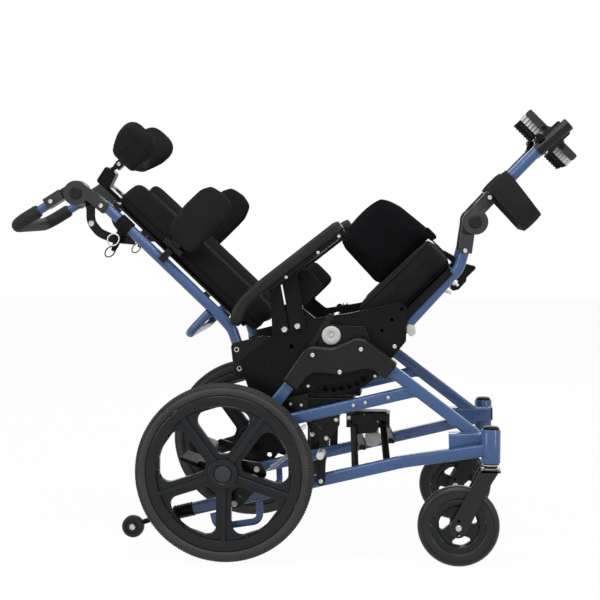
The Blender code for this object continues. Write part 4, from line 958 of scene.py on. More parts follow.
windows = [spoke_window(0.044, 0.1475, 0.034, k, 0.027) for k in range(SPOKES)]
rim = [(0.1485, 0.006), (0.1490, 0.0125), (0.1510, 0.0155), (0.1545, 0.0168), (0.162, 0.0172),
       (0.1695, 0.0166), (0.1725, 0.0158), (0.174, 0.0142)]
hub = [(0.0003, 0.0200), (0.0185, 0.0200), (0.0200, 0.0190), (0.0212, 0.0208), (0.0225, 0.0218),
       (0.029, 0.0218), (0.0325, 0.0205), (0.034, 0.0175), (0.034, -0.0228), (0.0328, -0.024),
       (0.0003, -0.024)]
moulding = joined(plate(circle((0, 0), 0.152, 120), -0.008, 0.008, windows),
                  two_faced(rim, sides=120), turned(hub))
hub_cap = turned(((0.0003, 0.0210), (0.0160, 0.0210), (0.0176, 0.0204), (0.0182, 0.0194)), sides=48)
spoke_turns = [FIRST_SPOKE + 360 / SPOKES * k for k in range(SPOKES)]
spoke_ridges = [ridge(0.028, 0.1500, 0.0066, 0.0050, y0, y1, turn) for turn in spoke_turns
                for y0, y1 in ((0.006, 0.0158), (-0.0158, -0.006))]
rim_marks = [ridge(0.1470, 0.1525, 0.0022, 0.0022, 0.012, 0.0176, turn + 36 + lean)
             for turn in spoke_turns for lean in (-15, 15)]
flank = [(0.1742, 0.0150), (0.1765, 0.0172), (0.1800, 0.0190), (0.1840, 0.0196), (0.1878, 0.0184),
         (0.1918, 0.0152), (0.1953, 0.0108), (0.1974, 0.0056), (0.1981, 0.0)]
for name, shape, finish, instead, how in (
        ("rear_wheel_{}_moulding", moulding, wheel_plastic, "rear_wheel_{}", {"bevel": 0.0018, "sharp": 35}),
        ("rear_wheel_{}_ridges", joined(*spoke_ridges, *rim_marks), wheel_plastic, None,
         {"bevel": 0.0040, "steps": 4}),
        ("rear_hub_cap_{}", hub_cap, grey_plastic, None, {"sharp": 50}),
        ("rear_tyre_{}_rubber", two_faced(flank, sides=120), tyre_rubber, "rear_tyre_{}", {"sharp": 60})):
    both(name, moved(shape, WHEEL_AT), BASE, "rear_wheel_{}", finish, instead, **how)
print("rear wheels fitted")

# %% [markdown]
# The tyre's crown carries three rows of low blocks, its shoulders a row of taller ones, and its
# flanks little nubs. They all walk round the tyre with the path recipe, tilted to its surface.

# %% Tread
block = small_part("tread_block", tapered(
    ((-0.0026, -0.0022), (0.0022, -0.0026), (0.0026, 0.0022), (-0.0022, 0.0026)),
    ((-0.0012, 1.1), (0.0016, 0.85))))
shoulder = small_part("shoulder_block", tapered(
    ((-0.0019, -0.0030), (0.0019, -0.0030), (0.0019, 0.0030), (-0.0019, 0.0030)),
    ((-0.0012, 1.1), (0.0030, 0.80))))
nub = small_part("side_nub", tapered(round_section(0.0012, 6), ((-0.0005, 1.1), (0.0006, 0.75))))
CROWN_ROWS = ((0.1981, 0.0, 0.0), (0.1968, -0.0072, -0.30), (0.1968, 0.0072, 0.30))
SHOULDER_ROWS = ((0.1936, -0.0135, -0.72), (0.1936, 0.0135, 0.72))
NUB_ROWS = ((0.1800, 0.0190, 1.35), (0.1800, -0.0190, -1.35))
TREADS = (("rear_tread_{}", block, 0.0068, CROWN_ROWS),
          ("rear_shoulder_{}", shoulder, 0.0062, SHOULDER_ROWS),
          ("rear_nubs_{}", nub, 0.0062, NUB_ROWS))
RING_SIDES = 90


def tread(name, part, step, rows, body, centre):
    """Rows of blocks round a tyre, each with its radius, offset and tilt."""
    points, edges, tops = [], [], []
    turns = [2 * pi * k / RING_SIDES for k in range(RING_SIDES)]
    for radius, offset, tilt in rows:
        start = len(points)
        points += [Vector((radius * cos(t), offset, radius * sin(t))) + centre for t in turns]
        edges += [(start + k, start + (k + 1) % RING_SIDES) for k in range(RING_SIDES)]
        tops += [(cos(tilt) * cos(t), sin(tilt), cos(tilt) * sin(t)) for t in turns]
    row(name, part, step, body, tyre_rubber, points, edges, tops)


for side, s in SIDES:
    for name, part, step, rows in TREADS:
        centre = Vector((AXLE.x, s * WHEEL_Y, WHEEL_RADIUS))
        tread(name.format(side), part, step, rows, f"rear_wheel_{side}", centre)
print("tread rows:", sum(len(rows) for *_, rows in TREADS), "a tyre")

# %% [markdown]
# The casters trail behind an upright stem. Each fork is two bent plates under a deck, with
# bright washers where its stem goes into the head tube. The wheel inside is a small copy of
# the rear one with three windows, and its tyre has a raised line on each flank. The two
# wheels are turned differently, so they aren't mirrored.

# %% Casters
FORK_TOP, FORK_HALF, FORK_OUT = 0.217, 0.021, 0.025
TRAIL, CASTER_RADIUS = -0.069, 0.090
CASTER_PHASES = {"right": 101, "left": 42}
leg_outline = [(0.019, FORK_TOP), (-0.023, FORK_TOP)]
leg_outline += arc((TRAIL - 0.001, CASTER_RADIUS - 0.003), 0.0195, radians(153), radians(334), 16)
leg_outline.append((0.002, 0.190))
leg_holes = [circle((TRAIL, CASTER_RADIUS + lift), 0.0040, 16) for lift in (0.0145, -0.0145)]
fork_leg = plate(soft_loop(leg_outline, 0.004), FORK_HALF, FORK_OUT, leg_holes)
fork_deck = brick((-0.021, -FORK_OUT, 0.212), (0.021, FORK_OUT, FORK_TOP))
fork_stem = ((0.0155, 0.2165), (0.0155, 0.2284), (0.0085, 0.2286), (0.0085, 0.290))
fork = joined(fork_leg, sided(fork_leg, -1), fork_deck, upright(fork_stem, (0, 0, 0), 32))
washers = joined(*(
    upright(((r - 0.001, low), (r, low + 0.0006), (r, high - 0.0006), (r - 0.001, high)), (0, 0, 0))
    for r, low, high in ((0.0185, 0.2171, 0.2196), (0.0195, 0.2256, 0.2284))))
caster_rim = [(0.0440, 0.004), (0.0445, 0.0105), (0.0465, 0.0125), (0.0500, 0.0135), (0.0560, 0.0138),
              (0.0590, 0.0132), (0.060, 0.0122)]
caster_hub = [(0.0052, 0.0205), (0.0135, 0.0205), (0.015, 0.0192), (0.015, 0.004)]
caster_side = [(0.0603, 0.0125), (0.0640, 0.0150), (0.0685, 0.0160), (0.0760, 0.0157), (0.0828, 0.0138),
               (0.0875, 0.0095), (0.0895, 0.0045), (0.0900, 0.0)]
line_profile = ((0.0775, 0.0145), (0.0783, 0.0164), (0.0805, 0.0158), (0.0815, 0.0134))
flank_line = turned(line_profile, sides=96, loop=True)
caster_tyre = joined(two_faced(caster_side, sides=96), flank_line, sided(flank_line, -1))
for side, s in SIDES:
    stem_at = Matrix.Translation((SWIVEL.x, s * HEAD_Y, 0))
    wheel_at = Matrix.Translation((CASTER_AXLE.x, s * HEAD_Y, CASTER_RADIUS))
    # The forks get the lighter copy of the black paint, with light painted into its colour.
    make(f"caster_fork_{side}_steel", fork, stem_at, f"caster_{side}", lit_fork_paint,
         [f"caster_fork_{side}"], bevel=0.0012)
    make(f"caster_washers_{side}", washers, stem_at, f"caster_{side}", zinc)
    gaps = [spoke_window(0.0205, 0.0437, 0.032, k, 0.006, 3, CASTER_PHASES[side]) for k in range(3)]
    web = plate(circle((0, 0), 0.0455, 80), -0.006, 0.006, gaps)
    wheel = joined(web, two_faced(caster_rim, sides=80), two_faced(caster_hub, sides=40))
    make(f"caster_hub_{side}_moulding", wheel, wheel_at, f"caster_wheel_{side}", wheel_plastic,
         [f"caster_hub_{side}"], bevel=0.0006, sharp=35)
    make(f"caster_tyre_{side}_rubber", caster_tyre, wheel_at, f"caster_wheel_{side}", caster_rubber,
         [f"caster_tyre_{side}"], sharp=45)
    for out in (-1, 1):
        screw(f"caster_{side}", "large", stem_at, TRAIL, out * FORK_OUT, CASTER_RADIUS, (0, out, 0))
print("casters fitted")

# %% [markdown]
# A ribbed plug in each rail's rear end carries a bent rod with a small roller, so that the
# chair can't tip backwards. The plug is turned about the rail's own slope.

# %% Anti-tip arms
TIP_AXLE, TIP_Y, TIP_OUT = (-0.216, 0.064), 0.1805, 0.2030
PLUG_LONG, RIB_PITCH = 0.045, 0.006
along_rail = Vector((1, 0, RAIL_SLOPE)).normalized()
rail_end = Vector(RAIL[0]) - along_rail * 0.0006
rail_turn = Matrix.Translation(rail_end) @ along_rail.to_track_quat("Y", "Z").to_matrix().to_4x4()
ribs = [(0.0003, -PLUG_LONG), (0.0135, -PLUG_LONG), (0.0155, -0.043)]
for k in range(6):
    ribs += [(r, o + RIB_PITCH * k) for r, o in
             ((0.0160, -0.041), (0.0160, -0.0385), (0.0146, -0.0380), (0.0146, -0.0355))]
ribs += [(0.0160, -0.004), (0.0160, -0.0005), (0.0150, 0.0), (0.0003, 0.0)]
plug_end = rail_end - along_rail * PLUG_LONG
beside = Vector(in_space(TIP_AXLE, TIP_Y))
half_way = plug_end.lerp(beside, 0.55)
half_way.y = TIP_Y
tip_rod = tube([plug_end + along_rail * 0.004, half_way, beside], 0.006, 0.03, sides=16)
anti_tip = joined(moved(turned(ribs, sides=32), rail_turn), tip_rod, pin(TIP_AXLE, 0.004, TIP_Y, TIP_OUT))
roller_half = [(0.0044, 0.0060), (0.0095, 0.0060), (0.0102, 0.0036), (0.0160, 0.0036), (0.0170, 0.0078),
               (0.0205, 0.0082), (0.0236, 0.0076), (0.0250, 0.0055)]
tip_roller = two_faced(roller_half, in_space(TIP_AXLE, RAIL_Y), 40)
both("anti_tip_{}_plug", anti_tip, BASE, "anti_tip_{}", black_plastic, "anti_tip_{}", sharp=40)
both("anti_tip_roller_{}_rubber", tip_roller, BASE, "anti_tip_roller_{}", caster_rubber,
     "anti_tip_roller_{}", sharp=40)
screws("anti_tip_{}", "large", BASE, TIP_OUT, TIP_AXLE)
print("anti-tip arms in")

# %% [markdown]
# A foot pedal behind each axle pulls a bright roller onto the tyre. A coil spring beside the
# rail brings it back: the spiral recipe winds it, and its two straight ends are small tubes.

# %% Brakes
BRAKE_FOOT, BRAKE_ROLLER = (0.212, 0.1776), (0.214, 0.243)
BRAKE_OUT, BORE = 0.2128, 0.0053
PEDAL_FRONT, PEDAL_TIP, PEDAL_THICK = (-0.066, 0.201), (-0.113, 0.219), 0.009
lever = arm(PEDAL_PIVOT, PEDAL_FRONT, 0.012, 0.008, 0.152, 0.160, [circle(PEDAL_PIVOT, BORE)])
under = [(x, z - PEDAL_THICK) for x, z in (PEDAL_TIP, PEDAL_FRONT)]
pedal = joined(lever, plate(soft_loop((PEDAL_FRONT, PEDAL_TIP, *under), 0.003), 0.065, 0.160))
brake_arm = arm(BRAKE_FOOT, BRAKE_ROLLER, 0.0095, 0.0100, 0.2078, BRAKE_OUT, [circle(BRAKE_FOOT, BORE)])
roller_profile = ((0.0003, 0.2126), (0.0080, 0.2126), (0.0092, 0.2140), (0.0092, 0.2600), (0.0080, 0.2620),
                  (0.0003, 0.2620))
roller = turned(roller_profile, in_space(BRAKE_ROLLER), 32)
both("brake_pedal_{}_lever", pedal, BASE, "brake_pedal_{}", black_plastic, "brake_pedal_{}", bevel=0.0010)
both("brake_arm_{}_steel", brake_arm, BASE, "brake_arm_{}", black_paint, "brake_arm_{}", bevel=0.0008)
both("brake_roller_{}", roller, BASE, "brake_arm_{}", zinc, sharp=40)
screws("base", "medium", BASE, BRAKE_OUT, BRAKE_FOOT)

slope = (Vector(in_space(PEDAL_TIP)) - Vector(in_space(PEDAL_FRONT))).normalized()
pedal_top = (slope.z, 0, -slope.x)
rib_outline = ((-0.0016, -0.0004), (-0.0010, 0.0012), (0.0010, 0.0012), (0.0016, -0.0004))
grip_rib = small_part("pedal_rib", plate(rib_outline, -0.040, 0.040))
for side, s in SIDES:
    start, end = (BASE @ Vector(in_space(p, s * 0.1125)) for p in (PEDAL_FRONT, PEDAL_TIP))
    ends = [start.lerp(end, 0.08), end.lerp(start, 0.08)]
    row(f"pedal_ribs_{side}", grip_rib, 0.0062, f"brake_pedal_{side}", black_plastic, ends, [(0, 1)],
        [pedal_top, pedal_top])
print("brakes fitted")

# %% Brake springs
SPRING_START, SPRING_END = Vector((0.100, 0.2135, 0.206)), Vector((0.141, 0.2135, 0.236))
spring_axis = SPRING_END - SPRING_START
wound = grown("brake_spring", coil, zinc, Turns=13.0, Radius=0.0052, Height=spring_axis.length, Wire=0.0008)
wound.transform(Matrix.Translation(SPRING_START) @ spring_axis.to_track_quat("Z", "Y").to_matrix().to_4x4())
spring = [tuple(v.co) for v in wound.vertices], [tuple(f.vertices) for f in wound.polygons]
way = spring_axis.normalized()
for path in ([SPRING_START, SPRING_START - way * 0.014, Vector((0.082, 0.2135, 0.200))],
             [SPRING_END, SPRING_END + way * 0.010, Vector((0.153, 0.2075, 0.262))]):
    spring = joined(spring, tube(path, 0.0012, 0.004, sides=8))
both("brake_spring_{}_wound", spring, BASE, "base", zinc, sharp=60)
print("springs hooked in")

# %% [markdown]
# A scissor brace ties the two sides together under the seat: a centre block, four bars down
# to shoes on the lower rails, a pale locking plate and a small folding bracket on each side.

# %% Cross brace
BRACE_TOPS, BRACE_FEET, BRACE_Z = (0.274, 0.343), (0.287, 0.358), 0.288
BLOCK_HALF = 0.030
LENGTHWISE = Vector((1, 0, 0))


def rail_z(x):
    return RAIL[0][2] + (x - RAIL[0][0]) * RAIL_SLOPE


brace_parts = [brick((0.258, -BLOCK_HALF, 0.271), (0.359, BLOCK_HALF, 0.305)),
               brick((0.262, -0.022, 0.3045), (0.352, 0.022, 0.3085))]
bar_section = oblong_section(0.016, 0.012, 0.002)
for top_x, foot_x in zip(BRACE_TOPS, BRACE_FEET):
    foot_z = rail_z(foot_x)
    bar = sweep([(top_x, 0.015, BRACE_Z), (foot_x, 0.1762, foot_z)], bar_section, LENGTHWISE)
    shoe = brick((foot_x - 0.008, 0.1702, foot_z - 0.012), (foot_x + 0.008, 0.1822, foot_z + 0.012))
    brace_parts += [sided(shape, s) for _, s in SIDES for shape in (bar, shoe)]
make("cross_brace_welded", joined(*brace_parts), BASE, "base", black_paint, ["cross_brace"], bevel=0.0015)
LOCK = ((0.300, 0.258), (0.337, 0.260), (0.343, 0.240), (0.324, 0.226), (0.306, 0.230))
lock_plate = joined(plate(soft_loop(LOCK, 0.006), -0.0345, -0.0305),
                    brick((0.304, -0.0320, 0.250), (0.334, -0.0280, 0.276)))
make("brace_lock_plate", lock_plate, BASE, "base", sole_grey, bevel=0.0008)
LATCH = ((0.266, 0.302), (0.322, 0.304), (0.336, 0.276), (0.328, 0.262), (0.284, 0.256))
latch = joined(plate(soft_loop(LATCH, 0.006), -0.0385, -0.0350),
               brick((0.280, -0.0352, 0.280), (0.316, -0.0290, 0.298)))
make("brace_latch", latch, BASE, "base", black_paint, bevel=0.0010)
screws("base", "medium", BASE, BLOCK_HALF, (0.265, 0.294), (0.301, 0.298), (0.329, 0.283))

BRACKET = ((0.172, 0.316), (0.252, 0.334), (0.252, 0.300), (0.226, 0.262), (0.196, 0.262))
BRACKET_IN, BRACKET_OUT = 0.1765, 0.1822
BRACKET_SCREWS = ((0.244, 0.312), (0.191, 0.278), (0.222, 0.270))
bracket_gap = soft_loop(((0.196, 0.304), (0.232, 0.312), (0.214, 0.281)), 0.005)
fold_bracket = joined(
    plate(soft_loop(BRACKET, 0.008), BRACKET_IN, BRACKET_OUT, [bracket_gap]),
    *(sweep(at_y(0.1735, *ends), oblong_section(0.006, 0.010, 0.002)) for ends in
      (((0.176, 0.322), (0.222, 0.266)), ((0.246, 0.330), (0.204, 0.268)))))
both("fold_bracket_{}", fold_bracket, BASE, "base", black_paint, bevel=0.0010)
screws("base", "medium", BASE, BRACKET_OUT, *BRACKET_SCREWS)
screws("base", "medium", BASE, BRACKET_IN, *BRACKET_SCREWS, facing=-1)

# %% [markdown]
# The seat's sides are moulded plates: a sector with a row of index holes for the tilt, a front
# lobe with three holes and a raised rim. A rim is a thin bar swept along the outline after it
# has been moved inwards, so `inset` shifts each corner along the mean of its two edges' normals.

# %% Seat side plates
PLATE_IN, PLATE_OUT = 0.160, 0.168
PLATE_EDGE = [(0.067, -0.131), (0.108, -0.127), (0.164, -0.076), (0.160, -0.056), (0.064, 0.006),
              (0.0, 0.052), (-0.006, 0.108), (-0.036, 0.128), (-0.062, 0.106), (-0.100, 0.093),
              (-0.192, 0.104), (-0.221, 0.045), (-0.205, -0.035)]
PLATE_EDGE += arc((0, 0), 0.136, radians(-156), radians(-76), 24)
INDEX_RADIUS = 0.122
INDEX_TURNS = [radians(-98.5 - 8.5 * k) for k in range(6)]
INDEX_HOLES = [(INDEX_RADIUS * cos(t), INDEX_RADIUS * sin(t)) for t in INDEX_TURNS]
LOBE_HOLES = ((0.152, -0.069), (0.120, -0.0705), (0.087, -0.072))
PLATE_RIBS = (((0.060, -0.066), (0.096, -0.026), (0.148, -0.060)),
              ((0.106, -0.086), (0.136, -0.076), (0.112, -0.119)),
              ((-0.146, 0.093), (-0.156, 0.067), (-0.152, 0.042), (-0.139, 0.026)),
              ((-0.120, 0.070), (-0.152, 0.042)),
              ((-0.125, 0.088), (-0.086, 0.069)))


def inset(loop, by):
    """A closed outline moved inwards."""
    moved_in = []
    area = sum(p[0] * q[1] - q[0] * p[1] for p, q in zip(loop, loop[1:] + loop[:1]))
    inward = 1 if area > 0 else -1
    for before, here, after in zip(loop[-1:] + loop[:-1], loop, loop[1:] + loop[:1]):
        a = (Vector(here) - Vector(before)).normalized()
        b = (Vector(after) - Vector(here)).normalized()
        normal = (Vector((-a.y, a.x)) + Vector((-b.y, b.x))).normalized() * inward
        lean = max(0.5, normal.dot(Vector((-a.y, a.x)) * inward))
        moved_in.append(tuple(Vector(here) + normal * (by / lean)))
    return moved_in


def rim_bar(outline, by, y, wide, tall):
    """A raised rim that follows an outline."""
    section = oblong_section(tall, wide, min(wide, tall) * 0.35, 2)
    return sweep(at_y(y, *inset(outline, by)), section, closed=True)


plate_outline = soft_loop(PLATE_EDGE, 0.009)
holes = [circle(at, 0.0066) for at in INDEX_HOLES] + [circle(at, 0.0042, 20) for at in LOBE_HOLES]
plate_ribs = [sweep(at_y(PLATE_OUT, *rib), oblong_section(0.0016, 0.0022, 0.0006, 2)) for rib in PLATE_RIBS]
side_plate = joined(plate(plate_outline, PLATE_IN, PLATE_OUT, holes),
                    rim_bar(plate_outline, 0.0022, PLATE_OUT, 0.0028, 0.0016), *plate_ribs)
cup = ((0.0003, 0.1460), (0.0067, 0.1460), (0.0067, 0.1602), (0.0080, 0.1602), (0.0080, 0.1445),
       (0.0003, 0.1445))
hole_cups = joined(*(turned(cup, in_space(at), 24) for at in INDEX_HOLES))
blade = arm((-0.060, 0.012), (0.026, 0.031), 0.0055, 0.0075, PLATE_OUT - 0.0005, PLATE_OUT + 0.0030)
STOP = ((0.122, -0.128), (0.136, -0.130), (0.146, -0.116), (0.138, -0.102), (0.124, -0.106))
both("seat_side_plate_{}_moulding", side_plate, SEAT, "seat", black_plastic, "seat_side_plate_{}",
     bevel=0.0008)
both("index_cups_{}", hole_cups, SEAT, "seat", black_plastic, sharp=40)
both("side_plate_blade_{}", blade, SEAT, "seat", satin_plastic, bevel=0.0012)
both("rail_stop_{}", plate(soft_loop(STOP, 0.004), 0.150, 0.1595), SEAT, "seat", alloy, bevel=0.001)
screws("seat", "medium", SEAT, PLATE_OUT, (0.082, -0.117))
for _, s in SIDES:
    screw("seat", "large", SEAT, 0.040, s * 0.164, 0.0245, (0.56, 0, 0.83))
print("side plates moulded")

# %% [markdown]
# Between the plates lies the pan. It has a flange over each rail and a thin tongue on a wedge
# for the knee block. A black wing lever under its front edge frees the block.

# %% Pan and wing lever
PAN_LOW, PAN_TOP = -0.0865, -0.0765
TONGUE_FOOT = ((0.3012, PAN_LOW), (0.3012, -0.0450), (0.3080, -0.0450), (0.3155, -0.0740), (0.3155, PAN_LOW))
flange = joined(brick((0.112, 0.1330, -0.0802), (0.288, 0.1636, -0.0772)),
                brick((0.112, 0.1602, -0.0935), (0.288, 0.1636, -0.0772)))
pan = joined(brick((0.020, -0.1344, PAN_LOW), (0.292, 0.1344, PAN_TOP)),
             brick((0.020, -0.1597, PAN_LOW), (0.088, 0.1597, PAN_TOP)),
             brick((0.282, -0.020, PAN_LOW), (0.3095, 0.020, -0.0805)),
             brick((0.3035, -0.020, PAN_LOW), (0.3068, 0.020, 0.040)),
             plate(TONGUE_FOOT, -0.030, 0.030), flange, sided(flange, -1))
make("seat_pan_board", pan, SEAT, "seat", black_plastic, ["seat_pan"], bevel=0.0015)
WING = ((0.262, -0.0872), (0.300, -0.0872), (0.3230, -0.1050), (0.3370, -0.1280), (0.3010, -0.1275),
        (0.2940, -0.1330), (0.2690, -0.1345), (0.2560, -0.1270), (0.2590, -0.1130))
wing = joined(plate(soft_loop(WING, 0.005), -0.024, 0.024), pin((0.284, -0.113), 0.006, -0.032, 0.032))
make("pommel_wing_lever", wing, SEAT, "seat", black_plastic, bevel=0.002)
print("pan laid")

# %% [markdown]
# Under each edge of the pan a blue rail rises to the knee, with two bright nuts below it. Knee
# and handle are the same joint: a pair of dark plastic discs, each with a straight arm whose
# one edge just touches its disc, and a release button in the outer one.

# %% Disc joints
TUBE_Y, TUBE_RADIUS = 0.1472, 0.0125
JOINT_OUT, JOINT_IN = 0.1632, 0.1312
DISC, BUTTON_BORE = 0.0285, 0.0134
OUTER_LAYER, INNER_LAYER, SLEEVE = (TUBE_Y + 0.0003, JOINT_OUT), (JOINT_IN, TUBE_Y), (JOINT_IN, JOINT_OUT)


def arm_outline(pivot, degrees, side, near, reach, low, high):
    """An arm beside a disc: its two edges lie `low` and `high` to one side of the pivot."""
    along = Vector((cos(radians(degrees)), sin(radians(degrees))))
    beside = Vector((-along.y, along.x)) * side
    corners = [(reach, high)]
    if near:
        corners += [(near, high), (near, low)]
    else:
        corners += arc((0, 0), DISC, asin(high / DISC), 2 * pi + asin(low / DISC), 40)
    corners.append((reach, low))
    return [tuple(Vector(pivot) + along * u + beside * v) for u, v in corners]


def joint_half(pivot, degrees, side, reach, edges, layer, sleeve, holes=()):
    """Half of a disc joint: a disc in its own layer with an arm that widens to a sleeve."""
    disc = plate(arm_outline(pivot, degrees, side, 0, reach, *edges), *layer, holes)
    return joined(disc, plate(arm_outline(pivot, degrees, side, DISC + 0.0015, reach, *edges), *sleeve))


def outer_half(pivot, degrees, reach, edges):
    """The half with the button's bore and the raised lip round it."""
    lip = [(r, JOINT_OUT + o) for r, o in ((BUTTON_BORE, -0.001), (BUTTON_BORE, 0.0012), (0.0142, 0.0018),
                                           (0.0152, 0.0012), (0.0152, -0.001))]
    bore = circle(pivot, BUTTON_BORE, 32)
    half = joint_half(pivot, degrees, 1, reach, edges, OUTER_LAYER, SLEEVE, [bore])
    return joined(half, turned(lip, in_space(pivot), 40, loop=True))


def inner_half(pivot, degrees, reach, edges, sleeve):
    """The half with the pivot pin."""
    half = joint_half(pivot, degrees, -1, reach, edges, INNER_LAYER, sleeve)
    return joined(half, pin(pivot, 0.006, TUBE_Y - 0.004, 0.1568))


def button_cap(pivot):
    profile = ((0.0003, 0.1665), (0.0085, 0.1665), (0.0105, 0.1672), (0.0122, 0.1668), (0.013, 0.1655),
               (0.013, 0.1605))
    return turned(profile, in_space(pivot), 40)


# %% Rails, leg tubes and knees
RAIL_PATH = ((0.098, -0.106), (0.137, -0.103), (0.305, -0.0945), (0.348, -0.0705))
LEG_START, LEG_END = (0.452, -0.0330), (0.621, -0.030)
KNEE_EDGES = (-0.002, 0.028)
knee = (KNEE.x, KNEE.z)
NUT = ((0.0003, -0.0145), (0.0032, -0.0145), (0.0036, -0.0080), (0.0072, -0.0076), (0.0076, 0.0),
       (0.0003, 0.0))
RAIL_NUTS = ((0.277, -0.1065), (0.254, -0.1080))
seat_tube = tube(at_y(TUBE_Y, *RAIL_PATH), TUBE_RADIUS, 0.05)
leg_tube = sweep(at_y(TUBE_Y, LEG_START, LEG_END), round_section(TUBE_RADIUS))
nuts = joined(*(upright([(r, z + low) for r, low in NUT], (x, TUBE_Y, 0), 12) for x, z in RAIL_NUTS))
both("seat_rail_{}_tube", seat_tube, SEAT, "seat", blue_paint, "seat_rail_{}", sharp=50)
both("knee_lower_{}", inner_half(knee, 217.5, 0.071, KNEE_EDGES, SLEEVE), SEAT, "seat", grey_plastic,
     bevel=0.0022, steps=3)
both("knee_button_{}_cap", button_cap(knee), SEAT, "knee_button_{}", satin_plastic, "knee_button_{}",
     slot="grey_plastic", sharp=50)
both("leg_tube_{}_blue", leg_tube, SEAT, "leg_rest", blue_paint, "leg_tube_{}", sharp=50)
both("knee_upper_{}", outer_half(knee, 2, 0.067, KNEE_EDGES), SEAT, "leg_rest", grey_plastic,
     bevel=0.0022, steps=3)
both("rail_nuts_{}", nuts, SEAT, "seat", zinc, sharp=40)
screws("seat", "medium", SEAT, JOINT_OUT, (0.3435, -0.0755))
screws("leg_rest", "medium", SEAT, JOINT_OUT, (0.4640, -0.0300))
print("knees ready")

# %% [markdown]
# Each arm rest is a soft-skinned pad that bends down at its rear, on a flat post with a narrow
# slit and a raised rim. A strip under the pad takes its screws.

# %% Arm rests and posts
POST = ((-0.031, 0.048), (0.049, 0.1605), (-0.026, 0.1675), (-0.094, 0.094))
POST_SLIT = ((0.002, 0.158), (-0.002, 0.160), (-0.058, 0.078), (-0.054, 0.076))
POST_OUT = 0.1783
ARM_PATH = ((0.190, 0.1595), (-0.021, 0.186), (-0.092, 0.191), (-0.136, 0.1695))
ARM_TALL, ARM_WIDE, ARM_Y, STRIP_WIDE = 0.027, 0.050, 0.190, 0.040
STRIP_PATH = ((0.186, 0.1425), (-0.020, 0.1678))
END_SIZES = [0.72, 0.90]
post_edge = soft_loop(POST, 0.008)
post = joined(plate(post_edge, 0.1683, POST_OUT, [soft_loop(POST_SLIT, 0.001, 2)]),
              rim_bar(post_edge, 0.004, POST_OUT, 0.004, 0.002), pin((0.020, 0.136), 0.007, 0.1562, 0.174))
arm_line = spread(bent(at_y(ARM_Y, *ARM_PATH), 0.110, 12), 0.006, closed=False)
arm_sizes = END_SIZES + [1.0] * (len(arm_line) - 4) + END_SIZES[::-1]
arm_pad = sweep(arm_line, oblong_section(ARM_WIDE, ARM_TALL, 0.009, 5), ACROSS, arm_sizes)
arm_strip = sweep(at_y(ARM_Y, *STRIP_PATH), oblong_section(STRIP_WIDE, 0.0105, 0.002))
both("armrest_post_{}_plate", post, SEAT, "armrest_{}", black_plastic, "armrest_post_{}", bevel=0.001)
both("armrest_pad_{}_skin", arm_pad, SEAT, "armrest_{}", arm_skin, "armrest_pad_{}", sharp=45)
both("armrest_strip_{}", arm_strip, SEAT, "armrest_{}", black_plastic, bevel=0.0008)
screws("armrest_{}", "large", SEAT, POST_OUT, (-0.066, 0.083), (-0.040, 0.068))
screws("armrest_{}", "small", SEAT, ARM_Y + STRIP_WIDE / 2, (0.170, 0.1440), (0.112, 0.1512), (0.023, 0.1622))
print("arm rests on")

# %% [markdown]
# The foot plates hang between two clamp sleeves at the leg tubes' ends. Each has a dark body, a
# dull black ribbed sole, a row of pale teeth along its outer edge and an arched gusset with
# two holes in it.

# %% Foot plates
FOOT_PIVOT = (0.648, -0.034)
FOOT_IN, FOOT_OUT, FOOT_FACE = 0.024, 0.1279, 0.6495
FOOT_BODY = ((FOOT_FACE, -0.102), (0.667, -0.102), (0.667, 0.046), (FOOT_FACE, 0.046))
FOOT_GUSSET = ((FOOT_FACE, 0.030), (FOOT_FACE, -0.086), (0.6535, -0.088), (0.660, -0.080), (0.664, -0.064),
               (0.6715, -0.052), (0.6715, -0.016), (0.664, -0.004), (0.660, 0.012), (0.652, 0.030))
GUSSET_HOLE = ((0.650, 0.021), (0.661, 0.021), (0.663, 0.030), (0.653, 0.036))
SOLE_FACE, SOLE_EDGE = 0.6325, FOOT_OUT - 0.0095
gusset_holes = [soft_loop([(x, FOOT_PIVOT[1] + k * z) for x, z in GUSSET_HOLE], 0.003) for k in (-1, 1)]
foot_body = joined(plate(soft_loop(FOOT_BODY, 0.005), FOOT_IN, FOOT_OUT - 0.008),
                   plate(soft_loop(FOOT_GUSSET, 0.005), FOOT_OUT - 0.012, FOOT_OUT, gusset_holes))
sole = joined(*(brick((SOLE_FACE, FOOT_IN + 0.0015, low), (0.6505, SOLE_EDGE, high))
                for low, high in ((-0.100, -0.058), (-0.010, 0.044))))
both("footplate_{}_body", foot_body, SEAT, "footplate_{}", grey_plastic, "footplate_{}", bevel=0.002)
both("footplate_{}_sole", sole, SEAT, "footplate_{}", sole_black, bevel=0.001)
rib_outline = ((-0.0025, -0.0004), (-0.0017, 0.0014), (0.0017, 0.0014), (0.0025, -0.0004))
tooth_outline = ((-0.0032, -0.0012), (0.0032, -0.0012), (0.0029, 0.0012), (-0.0029, 0.0012))
sole_rib = small_part("sole_rib", plate(rib_outline, -0.045, 0.045))
edge_tooth = small_part("edge_tooth", tapered(tooth_outline, ((-0.0076, 1.0), (0.0076, 1.0))))
sole_facing = SEAT.to_3x3() @ Vector((-1, 0, 0))
for side, s in SIDES:
    for name, part, finish, x, y in (
            ("sole_ribs_{}", sole_rib, sole_black, SOLE_FACE, (FOOT_IN + FOOT_OUT - 0.008) / 2),
            ("edge_teeth_{}", edge_tooth, sole_grey, 0.6417, SOLE_EDGE)):
        ends = [SEAT @ Vector((x, s * y, z)) for z in (-0.098, -0.060, -0.008, 0.042)]
        row(name.format(side), part, 0.0074, f"footplate_{side}", finish, ends, [(0, 1), (2, 3)],
            [sole_facing] * 4)
print("foot plates hung")

